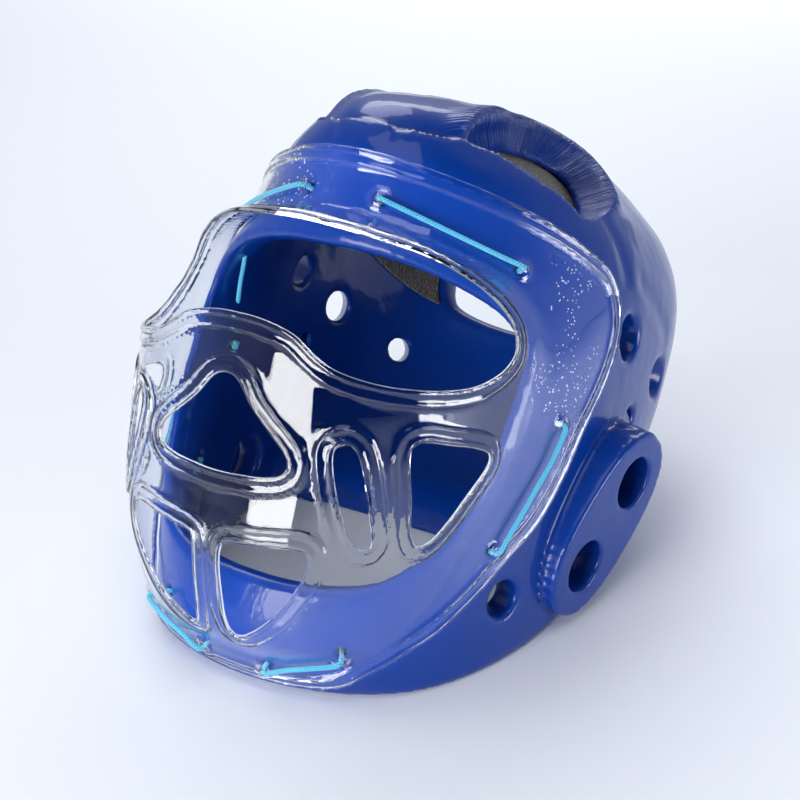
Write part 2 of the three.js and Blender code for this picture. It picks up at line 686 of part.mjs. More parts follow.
named("foam_shell", foamShell, "foam");
named("ear_pad_left", earPad, "foam");
named("ear_pad_right", mirrorAcross(earPad), "foam");
named("face_shield", faceShield, "clear");
laceEnds.forEach((ends, k) => {
  const tail = LACE_NAMES[k] === "brow_lace" ? TAIL_LENGTH : 0;
  named(`${LACE_NAMES[k]}_left`, lacePiece(ends, 0), "cord");
  named(`${LACE_NAMES[k]}_right`, mirrorAcross(lacePiece(ends, tail)), "cord");
});
named("crown_liner", crownLiner, "cloth");

// The origin at the middle of the foot of the box that holds it all
const box = new THREE.Box3().setFromObject(root);
const foot = new THREE.Vector3((box.min.x + box.max.x) / 2, (box.min.y + box.max.y) / 2, box.min.z);
root.children.forEach((mesh) => mesh.geometry.translate(-foot.x, -foot.y, -foot.z));

export default root;
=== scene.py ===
import math

import bpy
import numpy as np
from mathutils import Matrix, Vector
from mathutils.bvhtree import BVHTree
from mathutils.kdtree import KDTree


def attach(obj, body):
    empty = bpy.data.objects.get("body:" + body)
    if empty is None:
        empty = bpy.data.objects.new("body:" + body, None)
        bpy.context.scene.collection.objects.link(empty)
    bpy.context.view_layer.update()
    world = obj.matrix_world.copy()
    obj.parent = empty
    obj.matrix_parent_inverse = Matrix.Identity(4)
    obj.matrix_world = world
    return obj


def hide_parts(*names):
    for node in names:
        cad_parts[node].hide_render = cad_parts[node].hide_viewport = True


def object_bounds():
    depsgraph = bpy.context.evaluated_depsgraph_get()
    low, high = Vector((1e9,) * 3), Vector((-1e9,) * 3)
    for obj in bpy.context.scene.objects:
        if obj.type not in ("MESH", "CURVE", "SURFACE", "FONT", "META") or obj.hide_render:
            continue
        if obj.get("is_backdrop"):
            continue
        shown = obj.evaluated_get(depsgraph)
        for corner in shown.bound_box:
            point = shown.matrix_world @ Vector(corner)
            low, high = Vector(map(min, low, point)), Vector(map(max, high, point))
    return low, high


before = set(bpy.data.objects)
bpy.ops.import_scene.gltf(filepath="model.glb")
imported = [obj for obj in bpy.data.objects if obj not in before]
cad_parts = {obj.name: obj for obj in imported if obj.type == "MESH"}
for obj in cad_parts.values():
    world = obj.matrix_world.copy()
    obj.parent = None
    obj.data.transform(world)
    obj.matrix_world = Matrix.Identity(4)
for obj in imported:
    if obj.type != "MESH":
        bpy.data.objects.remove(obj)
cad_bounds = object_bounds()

# Sizes in millimetres, in the frame of the head that wears the guard, as in the part's source
LEAN = math.radians(25)
FOAM = 15.0
SHEET = 2.0
GAP = 0.3
LINER_REACH = 4.0
LACE_RADIUS = 1.1
LACE_HOLE_RADIUS = 2.3
LACE_BEND = 2.6
LACE_LIFT = 1.3
KNOT_RADIUS = 2.3
KNOT_SINK = 1.5
VENT_LIP = 4.2
VENT_TAPER = 0.6
BAND_DROP = 2.6
FACE_ROUND = 7.0
WINDOW_ROUND = 6.0
HOLE_ROUND = 1.6
EAR_ROUND = 4.0
LACE_ROUND = 1.5
RIM_ROUND = 3.0
FOOT_Y = 159.160
CROWN = 281.4
PAD_LENGTH = 96.0
PAD_WIDTH = 55.0
PAD_POWER = 2.4
PAD_HOLE_RADIUS = 12.6
PAD_HOLE_SPACING = 46.0

SHELL_ROWS = [
    # level, front, back, half, middle, front power, back power
    (-10, 20, 150, 84, 100, 2.1, 4),
    (0, 14, 150, 88, 102, 2.1, 4),
    (10, 3, 150, 92, 104, 2, 4),
    (20, -8, 150, 95, 106, 2, 4),
    (35, -12, 150, 98, 108, 2, 4),
    (50, -13, 152, 99.5, 110, 2.1, 4),
    (70, -19, 156, 100.5, 112, 2.1, 3.8),
    (90, -25, 182, 101, 116, 2.1, 3.4),
    (110, -29, 212, 101.5, 122, 2.15, 3.1),
    (130, -31, 236, 102, 128, 2.2, 3),
    (150, -29, 251, 102, 130, 2.2, 3),
    (170, -22, 259, 101.5, 132, 2.2, 3),
    (190, -10, 262, 100.5, 135, 2.1, 3),
    (205, -2, 262, 98.5, 138, 2, 3),
    (220, 1, 260, 94, 141, 2, 3),
    (240, 2, 253, 82.5, 144, 2, 2.9),
    (254, 9, 243, 68, 144, 2, 2.7),
    (264, 26, 230, 56.5, 140, 2, 2.5),
    (272, 46, 208, 45, 132, 2, 2.4),
    (278, 72, 178, 29, 125, 2, 2.2),
    (281, 100, 140, 8, 118, 2, 2),
]
DOME_POWER = 2.75
DOME_ROWS = [
    # level, front, half
    (-10, 30, 60), (6, 16, 60), (16, -4, 64), (24, -17, 69), (30, -24.5, 73), (44, -34, 79),
    (67, -44.2, 86), (84, -47, 90), (99, -48.6, 93), (120, -51.5, 95.5), (138, -54.3, 96.5),
    (161, -54.6, 96.5), (170, -51.5, 95.5), (181, -46, 92.5), (189, -41, 88.5), (196, -35.5, 82),
    (200, -32, 75.5), (204, -28.5, 66), (208, -21, 50), (211, -12, 34), (214, 0, 22), (222, 16, 16),
    (240, 40, 10),
]

# Openings seen from the front (across, level): halves that are mirrored, then ones made on both sides
EYE_OPENING = [
    (0, 161.5), (10, 161.1), (18, 159.9), (26, 157.6), (33, 153), (41.5, 148.4), (53.6, 146.1),
    (63.9, 146.2), (73.9, 148.3), (80.1, 151.9), (83.8, 157.8), (85.5, 163.4), (85.4, 169.9),
    (82.9, 178.2), (78, 185.3), (70.6, 191.5), (60.1, 196.7), (49.5, 199.9), (39.6, 201.3),
    (20.8, 202.9), (0, 203.8),
]
NOSE_OPENING = [
    (0, 97.8), (13.5, 98.8), (22, 100), (28.8, 102.4), (31.4, 105.6), (30.8, 110.5), (28, 114.2),
    (21, 120.2), (13, 127.8), (9, 133), (6, 136.4), (2.6, 138.2), (0, 138.4),
]
FACE_OPENING = [
    (0, 54), (20, 54.5), (38, 57), (54, 63), (65, 75), (72, 88), (77, 105), (80.5, 125), (82, 145),
    (82, 160), (80.5, 170), (77, 177), (70, 184), (57, 190), (43, 194), (24, 196.7), (0, 197.2),
]
REAR_WINDOW = [
    (0, 178), (22, 178.5), (42, 181.5), (54, 186), (57, 191), (57.5, 205), (55, 215), (47, 220),
    (24, 222), (0, 222),
]
LOW_OPENING = [
    (7.2, 69.2), (9, 70.8), (25.4, 73.6), (39, 75.8), (42.6, 75), (43.6, 72), (42.7, 65.6),
    (34.9, 50.7), (23.5, 37.7), (13, 31), (9.5, 31.2), (7.6, 35.7), (6.8, 49),
]
SLOT_OPENING = [
    (46.4, 117.6), (48.6, 120.7), (51.2, 121.8), (54, 119.6), (56.4, 114.1), (60.1, 96.7),
    (61.9, 83.6), (60.9, 80.4), (58.6, 79.5), (55.3, 83.2), (50.4, 96.4), (47, 109.7),
]
SIDE_OPENING = [
    (68.6, 122.8), (69.8, 126.4), (72.7, 128.2), (77.4, 128.3), (82.5, 128.6), (85, 127.6),
    (85.6, 124.6), (85.1, 119.5), (81.7, 105.6), (78.6, 94.8), (75, 86.2), (73, 84.2), (71.6, 86.2),
    (70.3, 103.3),
]
# Edge of the shield seen from the side (back, level)
SHIELD_EDGE = [
    (0.4, 8.6), (6.4, 12.6), (10.4, 22.5), (17.3, 32.9), (27, 47.2), (37, 64.1), (47.4, 80.7),
    (60.9, 97.1), (71.5, 118.1), (80, 140.5), (90.4, 160.5), (96, 173.9), (99.4, 188.9),
    (98.2, 202.2), (92.4, 212.5), (78.4, 219.4), (61.3, 225.2), (41.8, 230), (26.5, 233.2),
    (11.1, 236.4), (1, 239),
]
LINER_EDGE = [(262, 176), (236, 184), (182, 204), (110, 226), (58, 243), (58, 300), (262, 300)]
VENT_SLOPE = math.radians(40)
VENT_BASE = 254.0
VENT_OUTLINE = [
    (35.7, 30), (41, 33.4), (48, 37), (55, 40.6), (62, 46), (74, 58.5), (83, 68.5), (88, 71), (95, 70),
    (107, 66), (118, 60), (130, 48), (136, 36), (133, 26), (122, 20.5), (104, 18), (78, 17), (56, 19),
    (42, 23.5),
]
VENT_HOLES = [
    # x, y, z, outer and inner radius, outwards, backwards, upwards
    (100, 119.5, 187, 11.2, 7.6, 1, 0, 0.08),
    (99.5, 174, 171, 10.6, 8.5, 0.75, 0.66, 0),
    (101.5, 139.5, 149, 5.4, 4, 1, 0, 0),
    (92, 56.5, 62, 9, 6.5, 0.85, -0.5, 0),
    (77, 212, 236, 8, 6, 0.8, 0.35, 0.45),
    (84, 230, 153, 8.5, 7, 0.72, 0.69, 0),
    (80, 172, 92, 7, 5.5, 0.75, 0.5, -0.4),
]
LACES = [
    # name, first hole (across, level), second hole
    ("brow_lace", 18.6, 220.2, 73.6, 204),
    ("cheek_lace", 97.8, 142.6, 89.5, 83.5),
    ("chin_lace", 16, 16.2, 50.4, 28.6),
]
TAIL_ROUTE = [(60, 27, 199), (65, 34, 191), (70, 42, 182), (74.5, 49, 172), (77, 54, 163)]
# Crisp top edge of the forehead band, from the middle to the corner of the vent
BAND_EDGE = [
    (0, 9.4, 254.3), (15, 11.6, 253), (30, 22, 253.5), (39.7, 35.7, 254.7), (48.5, 45, 251.6),
    (62.8, 61, 245), (77.4, 85.6, 236.6),
]
# Soft creases pressed into the foam
CREASES = [
    # depth, width, points
    (0.9, 2.0, [(15.6, 11.8, 252.8), (13.2, 5.4, 244.7)]),
    (0.9, 5.0, [(79.2, 104, 238.5), (88.9, 109.5, 225.8), (93, 113, 214)]),
    (0.8, 5.0, [(96.3, 131.3, 213.1), (98.9, 159.1, 201.7), (99.5, 176, 192)]),
]
# Middles and sizes of the patches of bubbles under the sheet
BUBBLES = [((-40, 13, 226), 20), ((90.5, 62, 192), 16), ((93, 57, 170), 18)]
# Swells, dents and pores of the foam's skin: scale, detail, strength and depth in metres
FOAM_BUMPS = ((26.0, 2.0, 0.5, 0.0028), (110.0, 3.0, 0.22, 0.0008), (700.0, 3.0, 0.1, 0.0002))
# Strands each way round a cord, and millimetres along it for one of their crossings
STRANDS = 4
STRAND_PITCH = 1.5
PAD_CENTRE = np.array([114.0, 110.5, 100.0])
PAD_NORMAL = np.array([0.98, -0.155, -0.117])
PAD_NORMAL /= np.linalg.norm(PAD_NORMAL)
PAD_TURN = math.radians(65)


def curve_of(rows, column):
    """The same smooth curve through one column of a table as the part's source draws."""
    t = np.array([row[0] for row in rows], float)
    v = np.array([row[column] for row in rows], float)
    rise = np.diff(v) / np.diff(t)
    slope = np.empty_like(v)
    slope[0] = rise[0]
    slope[-1] = rise[-1]
    turn = rise[:-1] * rise[1:] <= 0
    total = np.where(turn, 1.0, rise[:-1] + rise[1:])
    slope[1:-1] = np.where(turn, 0.0, 2 * rise[:-1] * rise[1:] / total)

    def value(level):
        at = np.clip(level, t[0], t[-1])
        k = np.clip(np.searchsorted(t, at, side="right") - 1, 0, len(t) - 2)
        h = t[k + 1] - t[k]
        s = (at - t[k]) / h
        low = (1 + 2 * s) * (1 - s) ** 2 * v[k] + s * (1 - s) ** 2 * h * slope[k]
        return low + s ** 2 * (3 - 2 * s) * v[k + 1] + s ** 2 * (s - 1) * h * slope[k + 1]

    return value


shell = [curve_of(SHELL_ROWS, k) for k in range(1, 7)]
front_of, back_of, half_of, middle_of, front_power, back_power = shell
dome_front = curve_of(DOME_ROWS, 1)
dome_half = curve_of(DOME_ROWS, 2)


def oval(cosine, sine, half, deep, power):
    return ((np.abs(cosine) / half) ** power + (np.abs(sine) / deep) ** power) ** (-1 / power)


def foam_radius(cosine, sine, level):
    middle = middle_of(level)
    ahead = sine < 0
    deep = np.where(ahead, middle - front_of(level), back_of(level) - middle)
    power = np.where(ahead, front_power(level), back_power(level))
    return oval(cosine, sine, half_of(level), deep, power)


def foam_point(angle, level):
    angle, level = np.broadcast_arrays(np.asarray(angle, float), np.asarray(level, float))
    cosine, sine = np.cos(angle), np.sin(angle)
    radius = foam_radius(cosine, sine, level)
    return np.stack([radius * cosine, middle_of(level) + radius * sine, level], -1)


def unit(v):
    return v / np.maximum(np.linalg.norm(v, axis=-1, keepdims=True), 1e-12)


def facing(point, angle, level):
    along = point(angle + 0.02, level) - point(angle - 0.02, level)
    up = point(angle, np.minimum(level + 1, CROWN - 0.6)) - point(angle, level - 1)
    return unit(np.cross(along, up))


def offset_point(angle, level, distance):
    away = np.asarray(distance, float)[..., None]
    return foam_point(angle, level) + facing(foam_point, angle, level) * away


def smooth_step(low, high, value):
    s = np.clip((value - low) / (high - low), 0, 1)
    return s * s * (3 - 2 * s)


def smooth_max(a, b, k):
    h = np.clip(k - np.abs(a - b), 0, None) / k
    return np.maximum(a, b) + h * h * k / 4


def smooth_min(a, b, k):
    return -smooth_max(-a, -b, k)


# The frame at rest: lean back, then move to the middle of the foot, in metres
TO_REST = np.array([
    [1, 0, 0],
    [0, math.cos(LEAN), math.sin(LEAN)],
    [0, -math.sin(LEAN), math.cos(LEAN)],
])


def at_rest(points):
    moved = np.asarray(points, float) @ TO_REST.T
    moved[..., 1] -= FOOT_Y
    return moved / 1000


MIRROR = np.array([-1, 1, 1])


def mirrored(half):
    return list(half) + [(-u, v) for u, v in reversed(half) if u > 0]


def mix(p, q, at_p, at_q, at):
    return (at_q - at) / (at_q - at_p) * p + (at - at_p) / (at_q - at_p) * q


def rounded(outline, closed=True, steps=6):
    """An outline with a smooth curve through its corners."""
    p = np.array(outline, float)
    n = len(p)
    out = []
    for k in range(n if closed else n - 1):
        a, b, c, d = (p[(k + j) % n] if closed else p[min(max(k + j, 0), n - 1)] for j in (-1, 0, 1, 2))
        # Centripetal weights keep the curve from swinging wide between near corners
        t1 = max(np.linalg.norm(b - a), 1e-6) ** 0.5
        t2 = t1 + max(np.linalg.norm(c - b), 1e-6) ** 0.5
        t3 = t2 + max(np.linalg.norm(d - c), 1e-6) ** 0.5
        for j in range(steps):
            t = t1 + j / steps * (t2 - t1)
            a1, a2, a3 = mix(a, b, 0, t1, t), mix(b, c, t1, t2, t), mix(c, d, t2, t3, t)
            out.append(mix(mix(a1, a2, 0, t2, t), mix(a2, a3, t1, t3, t), t1, t2, t))
    if not closed:
        out.append(p[-1])
    return np.array(out)


def outline_distance(u, v, outline):
    """Signed distance to a closed flat outline, negative inside."""
    shape = u.shape
    u = u.ravel()
    v = v.ravel()
    p = np.asarray(outline, float)
    q = np.roll(p, -1, axis=0)
    best = np.full(u.shape, np.inf)
    inside = np.zeros(u.shape, bool)
    for (ax, ay), (bx, by) in zip(p, q):
        ex, ey = bx - ax, by - ay
        wx, wy = u - ax, v - ay
        t = np.clip((wx * ex + wy * ey) / (ex * ex + ey * ey + 1e-12), 0, 1)
        best = np.minimum(best, (wx - ex * t) ** 2 + (wy - ey * t) ** 2)
        if ay != by:
            crosses = (ay > v) != (by > v)
            inside ^= crosses & (u < (bx - ax) * (v - ay) / (by - ay) + ax)
    return (np.sqrt(best) * np.where(inside, -1, 1)).reshape(shape)


class Field:
    """A box of points with a distance at each, from which a skin is drawn where it is zero."""

    def __init__(self, low, high, step):
        self.low = np.array(low, float)
        self.step = float(step)
        self.count = np.ceil((np.array(high, float) - self.low) / step).astype(int) + 1
        axes = [self.low[k] + step * np.arange(self.count[k]) for k in range(3)]
        self.x, self.y, self.z = np.meshgrid(*axes, indexing="ij")

    def sample(self, values, points):
        at = (points - self.low) / self.step
        k = np.clip(np.floor(at).astype(int), 0, self.count - 2)
        f = np.clip(at - k, 0, 1)
        out = 0
        for dx in (0, 1):
            for dy in (0, 1):
                for dz in (0, 1):
                    w = (f[:, 0] if dx else 1 - f[:, 0]) * (f[:, 1] if dy else 1 - f[:, 1])
                    w = w * (f[:, 2] if dz else 1 - f[:, 2])
                    out = out + w * values[k[:, 0] + dx, k[:, 1] + dy, k[:, 2] + dz]
        return out

    def skin(self, values, settle=2):
        """Points and four-sided faces of the zero surface, one point in each cell that it crosses."""
        inside = values < 0
        n = self.count - 1
        total = np.zeros(n, np.int8)
        corners = [(a, b, c) for a in (0, 1) for b in (0, 1) for c in (0, 1)]
        for a, b, c in corners:
            total += inside[a:a + n[0], b:b + n[1], c:c + n[2]]
        cells = np.argwhere((total > 0) & (total < 8))
        value = {}
        for a, b, c in corners:
            value[(a, b, c)] = values[cells[:, 0] + a, cells[:, 1] + b, cells[:, 2] + c]
        place = np.zeros((len(cells), 3))
        hits = np.zeros(len(cells))
        for p in corners:
            for axis in range(3):
                if p[axis]:
                    continue
                q = list(p)
                q[axis] = 1
                va, vb = value[p], value[tuple(q)]
                cross = (va < 0) != (vb < 0)
                t = np.where(cross, va / np.where(cross, va - vb, 1), 0)
                point = np.tile(np.array(p, float), (len(cells), 1))
                point[:, axis] += t
                place[cross] += point[cross]
                hits += cross
        place /= hits[:, None]
        points = self.low + (cells + place) * self.step
        number = np.full(n, -1, np.int64)
        number[cells[:, 0], cells[:, 1], cells[:, 2]] = np.arange(len(cells))
        faces = []
        for axis in range(3):
            side = [k for k in range(3) if k != axis]
            lo = [slice(None)] * 3
            hi = [slice(None)] * 3
            lo[axis] = slice(0, -1)
            hi[axis] = slice(1, None)
            change = inside[tuple(lo)] != inside[tuple(hi)]
            edge = np.argwhere(change)
            keep = np.all((edge[:, side] > 0) & (edge[:, side] < n[side]), axis=1)
            edge = edge[keep]
            quad = []
            for da, db in ((-1, -1), (0, -1), (0, 0), (-1, 0)):
                cell = edge.copy()
                cell[:, side[0]] += da
                cell[:, side[1]] += db
                quad.append(number[cell[:, 0], cell[:, 1], cell[:, 2]])
            quad = np.stack(quad, 1)
            flip = inside[edge[:, 0], edge[:, 1], edge[:, 2]]
            if axis == 1:
                flip = ~flip
            quad[~flip] = quad[~flip][:, ::-1]
            faces.append(quad)
        faces = np.concatenate(faces)
        faces = faces[(faces >= 0).all(1)]
        for _ in range(settle):
            points = relax(points, faces, 0.5)
            points = self.project(values, points)
        return points, faces

    def project(self, values, points):
        e = self.step * 0.5
        f = self.sample(values, points)
        slope = np.stack([
            self.sample(values, points + np.eye(3)[k] * e) - self.sample(values, points - np.eye(3)[k] * e)
            for k in range(3)
        ], 1) / (2 * e)
        size = np.maximum((slope ** 2).sum(1), 0.15)
        move = (f / size)[:, None] * slope
        return points - np.clip(move, -e, e)


def relax(points, faces, share):
    total = np.zeros_like(points)
    count = np.zeros(len(points))
    for a, b in ((0, 1), (1, 2), (2, 3), (3, 0)):
        for i, j in ((a, b), (b, a)):
            for axis in range(3):
                total[:, axis] += np.bincount(faces[:, i], points[faces[:, j], axis], len(points))
            count += np.bincount(faces[:, i], minlength=len(points))
    mean = total / np.maximum(count, 1)[:, None]
    return points + share * (mean - points)


# Materials
def new_material(name):
    material = bpy.data.materials.new(name)
    material.use_nodes = True
    tree = material.node_tree
    return material, tree, tree.nodes["Principled BSDF"]


def feed(tree, socket, value):
    """Set an input to a number, or link it to a socket or to the first output of a node."""
    if isinstance(value, bpy.types.Node):
        value = value.outputs[0]
    if isinstance(value, bpy.types.NodeSocket):
        tree.links.new(value, socket)
    else:
        socket.default_value = value


def add(tree, kind, *inputs, **settings):
    """A new node, with its properties and inputs by name and then its inputs by place."""
    node = tree.nodes.new("ShaderNode" + kind)
    for key, value in settings.items():
        socket = node.inputs.get(key.replace("_", " "))
        if socket is None:
            setattr(node, key, value)
        else:
            feed(tree, socket, value)
    for k, value in enumerate(inputs):
        feed(tree, node.inputs[k], value)
    return node


def math_node(tree, operation, *inputs):
    return add(tree, "Math", *inputs, operation=operation)


def value_at_points(tree, name):
    return add(tree, "Attribute", attribute_name=name).outputs["Fac"]


def ramp(tree, value, low, low_colour, high, high_colour):
    node = add(tree, "ValToRGB", value)
    for stop, position, colour in zip(node.color_ramp.elements, (low, high), (low_colour, high_colour)):
        stop.position = position
        stop.color = (*colour, 1)
    return node


def set_inputs(shader, **values):
    for key, value in values.items():
        shader.inputs[key.replace("_", " ")].default_value = value


def foam_material():
    """Thick glossy skin over foam: slow swells, fine pores, folds at the vents and dull scuffs."""
    material, tree, shader = new_material("dipped foam")
    set_inputs(shader, Base_Color=(0.0004, 0.031, 0.24, 1), Specular_IOR_Level=0.15)
    set_inputs(shader, Coat_Weight=0.5, Coat_Roughness=0.06)
    place = add(tree, "TexCoord").outputs["Object"]
    bump = None
    for scale, detail, strength, distance in FOAM_BUMPS:
        noise = add(tree, "TexNoise", Vector=place, Scale=scale, Detail=detail)
        below = {} if bump is None else {"Normal": bump}
        bump = add(tree, "Bump", Height=noise, Strength=strength, Distance=distance, **below)
    turn = value_at_points(tree, "wrinkle_turn")
    folds = add(tree, "TexNoise", noise_dimensions="1D", W=turn, Scale=1.0, Detail=3.0)
    lift = math_node(tree, "MULTIPLY", folds, value_at_points(tree, "wrinkle_mask"))
    bump = add(tree, "Bump", Height=lift, Strength=1.0, Distance=0.0024, Normal=bump)
    feed(tree, shader.inputs["Normal"], bump)
    feed(tree, shader.inputs["Coat Normal"], bump)
    worn = add(tree, "TexNoise", Vector=place, Scale=14.0, Detail=5.0)
    dull = add(tree, "MapRange", Value=worn, From_Min=0.35, From_Max=0.75, To_Min=0.28, To_Max=0.5)
    feed(tree, shader.inputs["Roughness"], dull)
    return material


def clear_material():
    """Moulded clear sheet: slightly wavy, with small trapped bubbles where it lies on the foam."""
    material, tree, shader = new_material("clear sheet")
    set_inputs(shader, Base_Color=(0.97, 0.985, 1.0, 1), IOR=1.5)
    place = add(tree, "TexCoord").outputs["Object"]
    swell = add(tree, "TexNoise", Vector=place, Scale=30.0, Detail=1.0)
    feed(tree, shader.inputs["Normal"], add(tree, "Bump", Height=swell, Strength=0.25, Distance=0.0008))
    dots = add(tree, "TexVoronoi", Vector=place, Scale=420.0)
    patch = add(tree, "TexNoise", Vector=place, Scale=32.0, Detail=2.0)
    small = math_node(tree, "LESS_THAN", dots, 0.17)
    some = math_node(tree, "GREATER_THAN", patch, 0.42)
    both = math_node(tree, "MULTIPLY", small, some)
    seen = math_node(tree, "MULTIPLY", both, value_at_points(tree, "touch"))
    clear = add(tree, "MapRange", Value=seen, To_Min=1.0, To_Max=0.35)
    feed(tree, shader.inputs["Transmission Weight"], clear)
    feed(tree, shader.inputs["Roughness"], add(tree, "MapRange", Value=seen, To_Min=0.025, To_Max=0.5))
    return material


def cord_material():
    """Braided cover: two sets of strands that cross, worked out from turns and millimetres, with painted
    shade in the grooves between them.
    """
    material, tree, shader = new_material("elastic cord")
    set_inputs(shader, Roughness=0.45, Sheen_Weight=0.3)
    parts = add(tree, "SeparateXYZ", add(tree, "TexCoord").outputs["UV"])
    strands = []
    for lean in (1, -1):
        turn = math_node(tree, "MULTIPLY", parts.outputs["X"], 2 * math.pi * STRANDS * lean)
        run = math_node(tree, "MULTIPLY_ADD", parts.outputs["Y"], 2 * math.pi / STRAND_PITCH, turn)
        strands.append(math_node(tree, "SINE", run))
    height = math_node(tree, "MAXIMUM", *strands)
    feed(tree, shader.inputs["Normal"], add(tree, "Bump", Height=height, Strength=0.7, Distance=0.00025))
    # Painted shade: the colour is dark in the grooves between the strands and the cord's own cyan on their
    # tops
    shade = ramp(tree, height, 0.1, (0.01, 0.26, 0.52), 0.8, (0.09, 0.6, 0.85))
    feed(tree, shader.inputs["Base Color"], shade)
    return material


def cloth_material():
    """Plain weave of mixed dark yarns, with a soft fuzz."""
    material, tree, shader = new_material("liner cloth")
    set_inputs(shader, Roughness=0.95, Sheen_Weight=0.4)
    place = add(tree, "TexCoord").outputs["Object"]
    waves = [
        add(tree, "TexWave", bands_direction=way, Vector=place, Scale=330.0, Distortion=2.0, Detail=2.0)
        for way in ("X", "Y")
    ]
    weave = math_node(tree, "MULTIPLY", *(wave.outputs["Fac"] for wave in waves))
    feed(tree, shader.inputs["Normal"], add(tree, "Bump", Height=weave, Strength=0.9, Distance=0.0008))
    yarn = add(tree, "TexNoise", Vector=place, Scale=900.0, Detail=4.0)
    shade = ramp(tree, yarn, 0.35, (0.012, 0.011, 0.011), 0.68, (0.17, 0.15, 0.135))
    feed(tree, shader.inputs["Base Color"], shade)
    return material


FOAM_LOOK = foam_material()
CLEAR_LOOK = clear_material()
CORD_LOOK = cord_material()
CLOTH_LOOK = cloth_material()


# Foam shell
def outer_distance(field):
    """Distance from the foam's outer form, worked out on a coarse grid and read between its points."""
    angles = np.linspace(-math.pi, math.pi, 260, endpoint=False)
    levels = np.concatenate([np.linspace(-24, 262, 150), np.linspace(263, CROWN - 0.4, 26)])
    ring = foam_point(angles[None, :], np.clip(levels, -10, None)[:, None])
    ring[..., 2] = levels[:, None]
    points = ring.reshape(-1, 3)
    n = len(angles)
    faces = []
    for k in range(len(levels) - 1):
        for i in range(n):
            j = (i + 1) % n
            faces.append((k * n + i, k * n + j, (k + 1) * n + j, (k + 1) * n + i))
    top = len(points)
    points = np.vstack([points, [[0, middle_of(CROWN), CROWN]], [[0, 100, -24]]])
    last = (len(levels) - 1) * n
    for i in range(n):
        j = (i + 1) % n
        faces.append((last + i, last + j, top))
        faces.append((j, i, top + 1))
    tree = BVHTree.FromPolygons([tuple(p) for p in points], faces)
    coarse = Field(field.low - 1, field.low + field.step * field.count + 1, 4.0)
    flat = np.stack([coarse.x.ravel(), coarse.y.ravel(), coarse.z.ravel()], 1)
    away = np.empty(len(flat))
    for k, p in enumerate(flat):
        away[k] = tree.find_nearest(p)[3]
    dx, dy = flat[:, 0], flat[:, 1] - middle_of(flat[:, 2])
    reach = np.hypot(dx, dy) + 1e-9
    edge = foam_radius(dx / reach, dy / reach, flat[:, 2])
    within = (reach < edge) & (flat[:, 2] < CROWN)
    high = flat[:, 2] > 281
    within[high] = (away[high] < 0.4) & (flat[high, 2] < CROWN)
    signed = np.where(within, -away, away).reshape(tuple(coarse.count))
    wanted = np.stack([field.x.ravel(), field.y.ravel(), field.z.ravel()], 1)
    return coarse.sample(signed, wanted).reshape(tuple(field.count))


def route_distance(x, y, z, route):
    """Distance from a line through a few points."""
    best = np.full(x.shape, np.inf)
    for a, b in zip(np.array(route[:-1], float), np.array(route[1:], float)):
        e = b - a
        wx, wy, wz = x - a[0], y - a[1], z - a[2]
        t = np.clip((wx * e[0] + wy * e[1] + wz * e[2]) / e.dot(e), 0, 1)
        best = np.minimum(best, (wx - t * e[0]) ** 2 + (wy - t * e[1]) ** 2 + (wz - t * e[2]) ** 2)
    return np.sqrt(best)


def vent_frame(x, z):
    """How far outwards along the slope of the vents, and how far above it."""
    slope = x * math.cos(VENT_SLOPE) - (z - VENT_BASE) * math.sin(VENT_SLOPE)
    depth = x * math.sin(VENT_SLOPE) + (z - VENT_BASE) * math.cos(VENT_SLOPE)
    return slope, depth


def above_band(x, y):
    """Distance from the band's top edge seen from above, positive on the crown's side."""
    flat = rounded3(BAND_EDGE, 4)[:, :2]
    ring = [(-40, flat[0][1]), *flat, (flat[-1][0] + 12, 220), (-40, 220)]
    return -outline_distance(x, y, ring)


def foam_relief(x, y, z):
    """How far the foam stands out of its smooth form: band edge, rolled lips of the vents, creases."""
    relief = np.zeros(x.shape)
    near = (y < 150) & (z > 205)
    px, py, pz = x[near], y[near], z[near]
    crown = above_band(px, py)
    line = 1.4 * np.abs(crown)
    fade = 1 - smooth_step(66, 88, py)
    swell = smooth_step(4, 18, line) * (1 - smooth_step(24, 70, line))
    behind = -BAND_DROP * np.exp(-(line / 5.0) ** 2) + BAND_DROP * swell
    before = 0.9 * np.exp(-(line / 7) ** 2)
    side = smooth_step(-0.8, 1.2, crown)
    part = fade * (before + (behind - before) * side)
    slope, _ = vent_frame(px, pz)
    around = outline_distance(py, slope, rounded(VENT_OUTLINE, steps=2))
    arch = smooth_step(-2, 7, crown)
    part += VENT_LIP * np.exp(-((around - 5.5) / 6.0) ** 2) * arch
    relief[near] = part
    for depth, width, points in CREASES:
        close = (x > 5) & (z > 185)
        away = route_distance(x[close], y[close], z[close], points)
        relief[close] -= depth * np.exp(-(away / width) ** 2)
    return relief


def cut_flat(body, y, z):
    """A form cut off along the ground that the leaning guard stands on."""
    return smooth_max(body, y * math.sin(LEAN) - z * math.cos(LEAN) + 0.05, RIM_ROUND)


